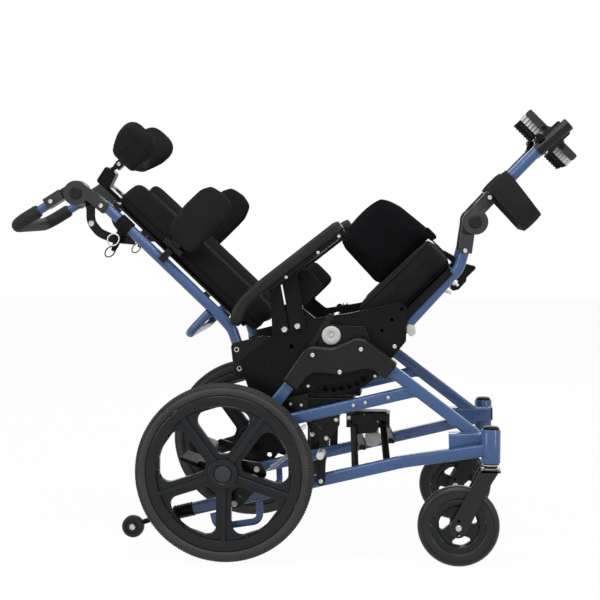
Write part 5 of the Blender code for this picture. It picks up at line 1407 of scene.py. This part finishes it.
# %% Leg sleeves
SLEEVE_IN, SLEEVE_Y, KNOB = 0.1283, TUBE_Y + 0.002, (0.633, -0.013)
SLEEVE_BLOCK = ((0.616, -0.052), (0.690, -0.055), (0.690, -0.015), (0.616, -0.012))
sleeve = joined(sweep(at_y(SLEEVE_Y, (0.610, -0.031), (0.700, -0.0365)), round_section(0.0150, 28)),
                plate(soft_loop(SLEEVE_BLOCK, 0.006), SLEEVE_IN, TUBE_Y),
                pin(FOOT_PIVOT, 0.006, 0.1079, TUBE_Y))
sleeve_end = sweep(at_y(SLEEVE_Y, (0.690, -0.0358), (0.7005, -0.0365)), oblong_section(0.024, 0.024, 0.004))
foot_knob = joined(pin(KNOB, 0.0065, SLEEVE_IN, 0.1560), pin(KNOB, 0.0090, 0.1560, 0.1640))
both("leg_sleeve_{}", sleeve, SEAT, "leg_rest", satin_plastic, bevel=0.0015)
both("leg_sleeve_end_{}", sleeve_end, SEAT, "leg_rest", grey_plastic, bevel=0.0015)
both("foot_knob_{}", foot_knob, SEAT, "leg_rest", black_plastic)
for _, s in SIDES:
    screw("leg_rest", "small", SEAT, 0.622, s * (TUBE_Y + 0.004), -0.0465, (0, 0, -1))
print("sleeves clamped")

# %% [markdown]
# The back is two blue canes with bolted feet, a bent bar that ties them low down, a board for
# the cushion and a push bar with a foam grip. The canes' short posts hold the board.

# %% Back frame
CANE_X, BOARD_REAR = -0.065, -0.047
CANE_PATH = ((-0.088, 0.086), (-0.068, 0.125), (CANE_X, 0.163), (CANE_X, 0.528))
CANE_FOOT = [(-0.030, 0.064), (-0.093, 0.104), (-0.143, 0.044), (-0.070, -0.006)]
CANE_FOOT += arc((0, 0), 0.018, radians(-110), radians(40), 12)
POST_HEIGHTS = (0.157, 0.220, 0.418, 0.500)
HANDLE_EDGES = (0.003, 0.028)
UP = Vector((0, 0, 1))
handle = (HANDLE.x, HANDLE.z)
cane_tube = tube(at_y(TUBE_Y, *CANE_PATH), TUBE_RADIUS, 0.05)
posts = [brick((CANE_X, TUBE_Y - 0.004, z - 0.008), (-0.0473, TUBE_Y + 0.004, z + 0.008))
         for z in POST_HEIGHTS]
cane_black = joined(plate(soft_loop(CANE_FOOT, 0.010), 0.1497, 0.1597), pin((0, 0), 0.006, 0.155, 0.168),
                    *posts, brick((CANE_X, 0.148, 0.340), (-0.0323, 0.169, 0.356)))
both("back_cane_{}_tube", cane_tube, BACK, "back", blue_paint, "back_cane_{}", sharp=50)
both("back_cane_{}_fittings", cane_black, BACK, "back", black_paint, bevel=0.0012)
both("handle_outer_{}", outer_half(handle, -86, 0.076, HANDLE_EDGES), BACK, "back", grey_plastic,
     bevel=0.0022, steps=3)
both("handle_button_{}_cap", button_cap(handle), BACK, "handle_button_{}", satin_plastic, "handle_button_{}",
     slot="grey_plastic", sharp=50)
screws("back", "large", BACK, 0.1549, (-0.093, 0.085), (-0.120, 0.051))
screws("back", "medium", BACK, JOINT_OUT, (-0.070, 0.532))
screws("push_bar", "medium", BACK, JOINT_OUT, (-0.143, 0.6235))
BAR_FRONT, BAR_REAR, BAR_Z = -0.0778, -0.1458, 0.189
bar_ends = ((BAR_FRONT, -1), (BAR_REAR, -1), (BAR_REAR, 1), (BAR_FRONT, 1))
u_path = bent([(x, y * TUBE_Y, BAR_Z) for x, y in bar_ends], 0.025)
u_bar = sweep(u_path, round_section(0.010), UP)
make("back_u_bar_tube", u_bar, BACK, "back", blue_paint, ["back_u_bar"], sharp=50)
board = brick((BOARD_REAR, -0.145, 0.110), (-0.042, 0.145, 0.515))
make("back_panel_board", board, BACK, "back", black_plastic, ["back_panel"], bevel=0.0015)
print("back frame up")

# %% Push bar and grip
BAR_Y = 0.1392
BAR_START, GRIP_LEAD, GRIP_CORNER = (-0.138, 0.6213), (-0.174, 0.6312), (-0.246, 0.651)
near = at_y(-BAR_Y, BAR_START, GRIP_LEAD, GRIP_CORNER)
bar_corners = near + [(x, -y, z) for x, y, z in reversed(near)]
bar_path = spread(bent(bar_corners, 0.045, 10), 0.006, closed=False)
lift = Vector((GRIP_LEAD[1] - GRIP_CORNER[1], 0, GRIP_CORNER[0] - GRIP_LEAD[0])).normalized()
held = [p for p in bar_path if p.x < GRIP_LEAD[0]]
grip_sizes = [0.86, *([1.0] * (len(held) - 2)), 0.86]
push_half = inner_half(handle, 165, 0.074, HANDLE_EDGES, (0.1275, JOINT_OUT))
push_tube = sweep(bar_path, round_section(0.0105), lift)
push_foam = sweep(held, round_section(0.0155, 28), lift, grip_sizes)
make("push_bar_tube", push_tube, BACK, "push_bar", blue_paint, ["push_bar"], sharp=50)
make("push_bar_shells", joined(push_half, sided(push_half, -1)), BACK, "push_bar", grey_plastic,
     bevel=0.0022, steps=3)
make("push_grip_foam", push_foam, BACK, "push_bar", foam_grip, ["push_grip"], sharp=60)
print("push bar on")

# %% [markdown]
# The headrest stands on a flat stem behind the board, clamped in a block. Each cane has a band
# of webbing with a ring and a loop, and a flat bent link inside it that stays the handle.

# %% Headrest stem
HEAD_PIVOT, STEM_HALF = (0.008, 0.593), 0.0105
CLAMP = ((-0.058, 0.568), (-0.012, 0.582), (-0.016, 0.612), (-0.058, 0.605))
stem = joined(brick((-0.0573, -0.015, 0.470), (-0.0473, 0.015, 0.601)),
              tube(at_y(0, (-0.052, 0.590), (-0.020, 0.600), HEAD_PIVOT), 0.0055, 0.02, sides=16),
              brick((-0.004, -0.0085, 0.584), (0.014, 0.0085, 0.602)),
              pin(HEAD_PIVOT, 0.010, -STEM_HALF, STEM_HALF))
clamp = plate(soft_loop(CLAMP, 0.006), -0.019, 0.019)
make("headrest_stem_bar", stem, BACK, "headrest_stem", black_paint, ["headrest_stem"], bevel=0.0008)
make("headrest_clamp", clamp, BACK, "headrest_stem", black_plastic, bevel=0.002)
screws("headrest_stem", "medium", BACK, STEM_HALF, HEAD_PIVOT)
print("headrest stem up")

# %% Cane fittings
RING_AT, LOOP_AT, LINK_IN = (-0.107, 0.460), (-0.134, 0.448), 0.1255
LINK_PATH = ((-0.092, 0.555), (-0.119, 0.530), (-0.123, 0.498), (-0.111, 0.467), (-0.078, 0.426))
TAB_PATH = ((-0.074, 0.464), (-0.094, 0.458), (-0.112, 0.450), (-0.128, 0.444))
band_profile = ((0.0130, 0.447), (0.0158, 0.4482), (0.0160, 0.4650), (0.0158, 0.4820), (0.0130, 0.483))
tab = sweep(at_y(TUBE_Y, *TAB_PATH), oblong_section(0.018, 0.0150, 0.003), ACROSS, [1.0, 1.0, 0.9, 0.6])
turns = [2 * pi * k / 24 for k in range(24)]
ring_path = [(RING_AT[0] + 0.0145 * cos(t), TUBE_Y + 0.0108, RING_AT[1] + 0.0125 * sin(t)) for t in turns]
eyelet = [(LOOP_AT[0] + 0.014 * cos(t), TUBE_Y + 0.003 * sin(t), LOOP_AT[1] + 0.009 * sin(t))
          for t in turns]
link = joined(sweep(bent(at_y(0.1275, *LINK_PATH), 0.040, 8), oblong_section(0.0040, 0.0205, 0.0012)),
              pin(LINK_PATH[0], 0.012, LINK_IN, 0.1310), pin((-0.070, 0.426), 0.008, LINK_IN, 0.1480))
both("cane_band_{}", upright(band_profile, (CANE_X, TUBE_Y, 0), 32), BACK, "back", webbing)
both("cane_tab_{}", tab, BACK, "back", webbing, bevel=0.0008)
both("cane_ring_{}", sweep(ring_path, round_section(0.0017, 10), closed=True), BACK, "back", zinc, sharp=60)
both("cane_loop_{}", sweep(eyelet, round_section(0.0014, 8), closed=True), BACK, "back", webbing, sharp=60)
both("cane_link_{}", link, BACK, "back", black_paint, bevel=0.0006, sharp=50)
screws("back", "large", BACK, 0.1295, (-0.119, 0.526))
print("canes dressed")

# %% [markdown]
# A pad is foam in a sewn cover. Its block starts a little small; a voxel remesh turns it into
# an even skin, and a short cloth run with pressure and no weight swells it. A point may move
# only so far, and a face that rests on a board is pinned, so that it stays flat.

# %% Swelling a pad
def remeshed(mesh, round_by, voxel):
    """A block with rounded edges as an even skin."""
    block_object = add_object("pad_block", mesh)
    if round_by:
        eased = block_object.modifiers.new("round", "BEVEL")
        eased.width, eased.segments = round_by, 5
        eased.limit_method, eased.angle_limit = "ANGLE", radians(40)
    even = block_object.modifiers.new("even", "REMESH")
    even.mode, even.voxel_size = "VOXEL", voxel
    calm = block_object.modifiers.new("calm", "SMOOTH")
    calm.factor, calm.iterations = 0.5, 4
    return plain(block_object)


def places(vertices):
    """The points of a mesh as rows of three numbers."""
    flat = np.empty(len(vertices) * 3)
    vertices.foreach_get("co", flat)
    return flat.reshape(-1, 3)


def swollen(mesh, rests, cap, pressure=4.0, frames=20):
    """Blow the skin up a little; `rests` says which points stay where they are."""
    before = places(mesh.vertices)
    cloth_object = add_object("pad_cloth", mesh)
    held_group = cloth_object.vertex_groups.new(name="rests")
    held_group.add([k for k, p in enumerate(before) if rests(Vector(p))], 1.0, "REPLACE")
    cloth = cloth_object.modifiers.new("swell", "CLOTH")
    settings = cloth.settings
    settings.quality, settings.mass = 4, 0.3
    settings.tension_stiffness = settings.compression_stiffness = 15
    settings.shear_stiffness, settings.bending_stiffness = 8, 0.6
    settings.use_pressure, settings.uniform_pressure_force = True, pressure
    settings.effector_weights.gravity = 0
    settings.vertex_group_mass = "rests"
    cloth.point_cache.frame_start, cloth.point_cache.frame_end = 1, frames
    for moment in range(1, frames + 1):
        bpy.context.scene.frame_set(moment)
    ready = cloth_object.evaluated_get(bpy.context.evaluated_depsgraph_get())
    move = places(ready.data.vertices) - before
    far = np.linalg.norm(move, axis=1, keepdims=True)
    move *= np.minimum(1.0, cap / np.maximum(far, 1e-9))
    bpy.data.objects.remove(cloth_object, do_unlink=True)
    bpy.context.scene.frame_set(1)
    mesh.vertices.foreach_set("co", (before + move).ravel())
    return mesh


# %% [markdown]
# A swollen pad still needs one subdivision and its seams. Piping is laid along the block's edges
# and dropped onto the new skin, because the remesh would have erased anything so thin.

# %% Pads and piping
def nowhere(point):
    """A pad that rests on nothing."""
    return False


def pad(name, shape, place, body, finish, node, cap, round_by, rests=nowhere, voxel=0.0045):
    """One finished pad and the tree that its seams are laid on."""
    mesh = mesh_of(name, shape, place)
    outward(mesh)
    skin_mesh = remeshed(mesh, round_by, voxel)
    home = place.inverted()
    skin_mesh = swollen(skin_mesh, lambda p: rests(home @ p), cap)
    piece = settle(name, skin_mesh, body, finish, [node], sharp=180)
    finer = piece.modifiers.new("finer", "SUBSURF")
    finer.levels = finer.render_levels = 1
    work = bmesh.new()
    work.from_mesh(skin_mesh)
    tree = BVHTree.FromBMesh(work)
    work.free()
    return piece, tree


def seam(name, path, place, tree, body, radius=0.0017, closed=True):
    """Piping along a path, sunk a little into a pad's skin."""
    found = [tree.find_nearest(place @ Vector(p))[:2] for p in path]
    points = [spot - normal * 0.0006 for spot, normal in found]
    last = len(points) - 1
    rings = []
    for k, (here, (_, normal)) in enumerate(zip(points, found)):
        after = points[(k + 1) % len(points)] if closed or k < last else here
        before = points[k - 1] if closed or k else here
        along = (after - before).normalized()
        side = along.cross(normal).normalized()
        up = side.cross(along)
        rings.append([here + (side * u + up * v) for u, v in round_section(radius, 8)])
    return make(name, skin(rings, closed=closed), None, body, piping_cloth, sharp=180)


# %% [markdown]
# The seat cushion is a block with piped edges. Its top is pressed flat under the knee block, a
# tall rounded wedge that sits on its front; the wedge's slot for the tongue is hidden inside.

# %% Seat cushion and knee block
CUSHION = ((0.078, -0.0758), (0.2985, -0.0758), (0.2985, -0.004), (0.150, 0.0), (0.078, 0.0))
CUSHION_HALF = 0.141
PIPING_CORNERS = ((0.077, -0.142), (0.297, -0.142), (0.297, 0.142), (0.077, 0.142))


def cushion_rests(p):
    """On the pan, and pressed flat under the knee block."""
    return p.z < -0.0745 or (p.z > -0.0065 and p.x > 0.135 and abs(p.y) < 0.058)


cushion = plate(CUSHION, -CUSHION_HALF, CUSHION_HALF)
_, cushion_tree = pad("seat_cushion_pad", cushion, SEAT, "seat", knit_mesh, "seat_cushion", 0.0045, 0.005,
                      cushion_rests, voxel=0.005)
for level, z in (("top", -0.004), ("low", -0.066)):
    edge = spread([(x, y, z) for x, y in PIPING_CORNERS])
    seam(f"seat_cushion_piping_{level}", edge, SEAT, cushion_tree, "seat")
POMMEL = ((0.148, 0.0028), (0.153, 0.142), (0.225, 0.151), (0.292, 0.146), (0.303, 0.108), (0.314, -0.0010))
POMMEL_RADII = [0.004, 0.012, 0.040, 0.012, 0.020, 0.004]
FLAP = ((0.3020, -0.010), (0.3175, -0.014), (0.3195, -0.006), (0.3195, 0.020), (0.3020, 0.020))
knee_block = plate(soft_loop(POMMEL, POMMEL_RADII, 6), -0.044, 0.044)
_, pommel_tree = pad("pommel_pad", knee_block, SEAT, "pommel", deep_cloth, "pommel", 0.0042, 0.010,
                     lambda p: p.z < 0.0060, voxel=0.005)
flap = plate(soft_loop(FLAP, 0.005), 0.0215, 0.041)
make("pommel_flap", joined(flap, sided(flap, -1)), SEAT, "pommel", deep_cloth, bevel=0.004, steps=4)
for side, s in SIDES:
    edge = spread(at_y(s * 0.036, *soft_loop(POMMEL, 0.020)))
    seam(f"pommel_seam_{side}", edge, SEAT, pommel_tree, "pommel", radius=0.0013)
print("seat padded")

# %% [markdown]
# The back cushion has two bolsters with a hollow channel between them. The channel is a finer
# stretch cloth, so the faces near the middle take a second material.

# %% Back cushion
CHANNEL_HALF, BACK_FLAT = 0.056, -0.0415
half = [(BACK_FLAT, 0.141), (-0.014, 0.141), (0.006, 0.128), (0.022, 0.105), (0.014, 0.080), (0.001, 0.050)]
outline = [*half, (-0.003, 0.0), *[(x, -y) for x, y in reversed(half)]]
TURN_UP = Matrix(((1, 0, 0, 0), (0, 0, 1, 0), (0, 1, 0, 0), (0, 0, 0, 1)))
back_block = moved(plate(outline, 0.083, 0.517), TURN_UP)
back_pad, back_tree = pad("back_cushion_pad", back_block, BACK, "back", knit_mesh, "back_cushion", 0.0045,
                          0.012, lambda p: p.x < -0.0400, voxel=0.0055)
back_pad.data.materials.append(stretch_cloth.material)
home = BACK.inverted()
for face in back_pad.data.polygons:
    spot = home @ face.center
    face.material_index = 1 if abs(spot.y) < CHANNEL_HALF and spot.x > -0.02 else 0
for side, s in SIDES:
    channel = spread([(0.03, s * CHANNEL_HALF, z) for z in (0.095, 0.505)], closed=False)
    seam(f"back_channel_seam_{side}", channel, BACK, back_tree, "back", radius=0.0014, closed=False)
edge = spread([(-0.020, y, z) for y, z in ((-0.150, 0.075), (0.150, 0.075), (0.150, 0.525), (-0.150, 0.525))])
seam("back_cushion_piping", edge, BACK, back_tree, "back")
print("back padded")

# %% [markdown]
# The headrest is curved, with two round wings. Its section is swept along a bent line and
# shrinks towards the tips by a quarter circle; the wings stand taller than the middle.

# %% Headrest
HEAD_MID, HEAD_TALL, TIP_ROUND = 0.5815, 0.0880, 0.042
head_corner = [(0.110, -0.119), (0.0363, -0.0806)]
head_points = [(x, y, HEAD_MID) for x, y in head_corner + [(x, -y) for x, y in reversed(head_corner)]]
head_line = bent(head_points, 0.045, 8)
tips = [end + (end - beside).normalized() * 0.0140 for end, beside in (head_line[:2], head_line[:-3:-1])]
head_path = spread([tips[0], *head_line, tips[1]], 0.006, closed=False)
walked = [0.0]
for before, here in zip(head_path, head_path[1:]):
    walked.append(walked[-1] + (here - before).length)
from_tip = [min(far, walked[-1] - far, TIP_ROUND) / TIP_ROUND for far in walked]
wing_share = [min(1.0, max(0.0, (p.x - 0.040) / 0.032)) for p in head_path]
sizes = [(0.36 + 0.70 * sqrt(1 - (1 - far) ** 2)) * (0.80 + 0.20 * share)
         for far, share in zip(from_tip, wing_share)]
head_shape = sweep(head_path, oblong_section(HEAD_TALL, 0.034, 0.014, 5), UP, sizes)
_, head_tree = pad("headrest_pad_cover", head_shape, BACK, "headrest_pad", pad_cloth, "headrest_pad", 0.0035,
                   0.0)
upper, lower = ([(p.x, p.y, HEAD_MID + k * HEAD_TALL / 2 * size) for p, size in zip(head_path, sizes)]
                for k in (1, -1))
seam("headrest_piping", spread(upper + lower[::-1]), BACK, head_tree, "headrest_pad", radius=0.0014)
for side, s in SIDES:
    for name, ends in (("headrest_wing_seam_{}", ((0.040, 0.115, 0.590), (0.098, 0.140, 0.582))),
                       ("headrest_tip_seam_{}", ((0.086, 0.135, 0.545), (0.092, 0.140, 0.615)))):
        line = spread([(x, s * y, z) for x, y, z in ends], closed=False)
        seam(name.format(side), line, BACK, head_tree, "headrest_pad", radius=0.0011, closed=False)
print("headrest padded")

# %% [markdown]
# The small pads are side supports that swing on an upright hinge, and hip guides inside the
# arm rests.

# %% Side supports and hip guides
LATERAL = ((-0.009, 0.306), (0.050, 0.303), (0.105, 0.302), (0.137, 0.314), (0.1440, 0.345), (0.137, 0.379),
           (0.115, 0.391), (0.063, 0.394), (0.010, 0.388), (-0.009, 0.378))
GUIDE = ((-0.007, 0.089), (0.065, 0.089), (0.065, 0.155), (-0.007, 0.155))
GUIDE_PIPING = ((-0.009, 0.087), (0.067, 0.087), (0.067, 0.157), (-0.009, 0.157))
support = plate(soft_loop(LATERAL, 0.016), 0.1515, 0.1785)
guide = plate(soft_loop(GUIDE, 0.013), 0.1305, 0.1545)
hinge_profile = ((0.0050, 0.322), (0.006, 0.323), (0.006, 0.373), (0.0050, 0.374))
hinge = joined(upright(hinge_profile, (-0.024, 0.165, 0), 24),
               brick((-0.024, 0.162, 0.336), (0.000, 0.168, 0.360)))
support_rim = soft_loop(inset(list(LATERAL), -0.003), 0.016)
for side, s in SIDES:
    swing, rest = f"lateral_pad_{side}", f"armrest_{side}"
    _, tree = pad(f"{swing}_cover", sided(support, s), BACK, swing, pad_cloth, swing, 0.0035, 0.010)
    for rank, y in enumerate((0.1545, 0.1755)):
        seam(f"{swing}_piping_{rank}", spread(at_y(s * y, *support_rim)), BACK, tree, swing, radius=0.0012)
    _, tree = pad(f"hip_pad_{side}_cover", sided(guide, s), SEAT, rest, pad_cloth, f"hip_pad_{side}", 0.0025,
                  0.008, lambda p: abs(p.y) > 0.1535)
    guide_rim = at_y(s * 0.1425, *soft_loop(GUIDE_PIPING, 0.013))
    seam(f"hip_pad_{side}_piping", spread(guide_rim), SEAT, tree, rest, radius=0.0014)
both("lateral_hinge_{}", hinge, BACK, "lateral_pad_{}", black_paint, bevel=0.0008)
print("small pads done")

# %% [markdown]
# The calf strap is a wide padded sling that is hung over both leg tubes. A flat band is better
# drawn than simulated: a remesh would eat its edges. Its section has a soft middle and bound
# edges, and stitches run beside both bindings.

# %% Calf strap
STRAP_MID, STRAP_LOW, STRAP_LEAN = 0.5015, -0.1365, 0.08
WRAP, LEG_Z = 0.0176, -0.0320
STRAP_Y, STRAP_TOP = TUBE_Y + WRAP, LEG_Z - 0.004
wrap_turns = [pi * (1 - k / 10) for k in range(11)]
over_tube = [Vector((STRAP_MID, -TUBE_Y - WRAP * cos(t), LEG_Z + WRAP * sin(t))) for t in wrap_turns]
far_tube = [Vector((p.x, -p.y, p.z)) for p in reversed(over_tube)]
hanging = [(STRAP_MID, y * STRAP_Y, z) for y, z in
           ((-1, STRAP_TOP), (-1, STRAP_LOW), (1, STRAP_LOW), (1, STRAP_TOP))]
sling = over_tube + bent(hanging, 0.045, 10) + far_tube
leaning = [(p.x - STRAP_LEAN * max(0.0, LEG_Z - p.z), p.y, p.z) for p in sling]
strap_path = spread(leaning, 0.006, closed=False)
band_edge = [(-0.0298, 0.0018), (-0.0285, 0.0030), (-0.0255, 0.0027), (-0.020, 0.0040), (-0.010, 0.0045)]
band_half = [*band_edge, (0.0, 0.0046), *[(-u, v) for u, v in reversed(band_edge)]]
band_section = band_half + [(u, -v) for u, v in reversed(band_half)]
widths = [1.0 - 0.12 * min(1.0, max(0.0, LEG_Z - p.z) / 0.08) for p in strap_path]
strap_shape = sweep(strap_path, band_section, LENGTHWISE, widths)
strap = make("calf_strap_sling", strap_shape, SEAT, "leg_rest", stretch_cloth, ["calf_strap"], sharp=60)
print("strap hung, points along it:", len(strap_path))

# %% Stitches on the strap
STITCH_SECTION = ((-0.0004, -0.0003), (0.0004, -0.0003), (0.0004, 0.0004), (-0.0004, 0.0004))
STITCH_ENDS = ((-0.0014, 0.5), (-0.0008, 1.0), (0.0008, 1.0), (0.0014, 0.5))
stitch = small_part("stitch", skin([[(x, y * k, z * k) for y, z in STITCH_SECTION] for x, k in STITCH_ENDS]))
points, tops, edges = [], [], []
last = len(strap_path) - 1
for offset in (-0.0245, 0.0245):
    edges += [(len(points) + k, len(points) + k + 1) for k in range(last)]
    for k, (p, wide) in enumerate(zip(strap_path, widths)):
        ahead = strap_path[min(k + 1, last)] - strap_path[max(k - 1, 0)]
        out = ahead.normalized().cross(LENGTHWISE)
        points.append(SEAT @ (p + LENGTHWISE * (offset * wide) + out * 0.0029 * wide))
        tops.append(SEAT.to_3x3() @ out)
row("calf_strap_stitches", stitch, 0.0042, "leg_rest", thread, points, edges, tops, sharp=60)
print("strap sewn")

# %% [markdown]
# All the screws noted on the way are set now, one mesh for each body and size.

# %% Screws
for (body, size), sites in screw_sites.items():
    name = f"screws_{body}_{size}"
    spots, aims = zip(*sites)
    mesh = grown(name, on_points, zinc, spots, vectors={"aim": aims}, Part=SCREWS[size])
    settle(name, mesh, body, zinc, sharp=40)
for part in small_parts:
    bpy.data.objects.remove(part, do_unlink=True)
print("screws:", sum(len(sites) for sites in screw_sites.values()))

# %% [markdown]
# The studio is a pale floor and a white surround. The camera and the mirror-like rays see pure
# white; only diffuse light comes from the lamps and a weak sky, so the black parts keep their
# depth.

# %% Floor and surround
class Stage(Nodes):
    """The node tree of the world or the floor."""

    def __init__(self, tree):
        self.tree = tree
        tree.nodes.clear()

    def seen(self):
        """One for rays that come from the camera or from something shiny or clear."""
        camera_ray, glossy_ray, clear_ray = (
            self.node("ShaderNodeLightPath", output=f"Is {kind} Ray")
            for kind in ("Camera", "Glossy", "Transmission"))
        total = camera_ray + glossy_ray + clear_ray
        return total.math("MINIMUM", total, 1.0)

    def show(self, shader, kind):
        self.tree.links.new(shader.socket, self.tree.nodes.new(kind).inputs["Surface"])


scene = bpy.context.scene
scene.view_settings.view_transform = "Standard"
world = bpy.data.worlds.new("studio")
scene.world = world
world.use_nodes = True
sky = Stage(world.node_tree)
SKY_LEVEL, WHITE = 0.40, (1, 1, 1, 1)
light = sky.seen() * (1 - SKY_LEVEL) + SKY_LEVEL
air = sky.node("ShaderNodeBackground", None, {"Color": WHITE, "Strength": light})
sky.show(air, "ShaderNodeOutputWorld")
floor_material = bpy.data.materials.new("pale_floor")
floor_material.use_nodes = True
ground = Stage(floor_material.node_tree)
chalk = ground.node("ShaderNodeBsdfDiffuse", None, {"Color": (0.86, 0.86, 0.86, 1)})
glow = ground.node("ShaderNodeEmission", None, {"Color": WHITE, "Strength": 1.0})
mixed = ground.node("ShaderNodeMixShader", None, {0: ground.seen() * 0.96, 1: chalk, 2: glow})
ground.show(mixed, "ShaderNodeOutputMaterial")
FLOOR = 9
corners = [(-FLOOR, -FLOOR, 0), (FLOOR, -FLOOR, 0), (FLOOR, FLOOR, 0), (-FLOOR, FLOOR, 0)]
floor_mesh = mesh_of("floor", (corners, [(0, 1, 2, 3)]))
floor_mesh.materials.append(floor_material)
add_object("floor", floor_mesh)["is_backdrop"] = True
print("floor laid, metres across:", 2 * FLOOR)

# %% [markdown]
# Narrow strip lamps draw long highlights on the round tubes, and a wide one behind the chair
# parts its black pieces from each other.

# %% Lamps
def softbox(name, place, target, wide, tall, power):
    lamp = bpy.data.lights.new(name, "AREA")
    lamp.shape, lamp.energy, lamp.size, lamp.size_y = "RECTANGLE", power, wide, tall
    made = add_object(name, lamp)
    made.location = place
    made.rotation_mode = "QUATERNION"
    made.rotation_quaternion = (Vector(target) - Vector(place)).to_track_quat("-Z", "Y")


CENTRE = (0.15, 0.0, 0.45)
softbox("top_strip", (0.1, -0.9, 3.0), CENTRE, 2.8, 0.45, 40)
softbox("high_strip", (-0.2, -2.3, 2.5), CENTRE, 2.4, 0.35, 30)
softbox("left_strip", (-2.6, -2.2, 1.6), CENTRE, 0.35, 2.0, 26)
softbox("right_strip", (2.7, -1.8, 1.5), CENTRE, 0.30, 2.0, 22)
softbox("rear_softbox", (0.4, 3.0, 2.0), CENTRE, 2.0, 2.0, 28)
print("lamps:", len(bpy.data.lights))

# %% Sizes and finish
low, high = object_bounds()
sizes = {"cad": [list(cad_low), list(cad_high)], "visual": [list(low), list(high)]}
print("visual box (mm):", [round((b - a) * 1000, 1) for a, b in zip(low, high)])
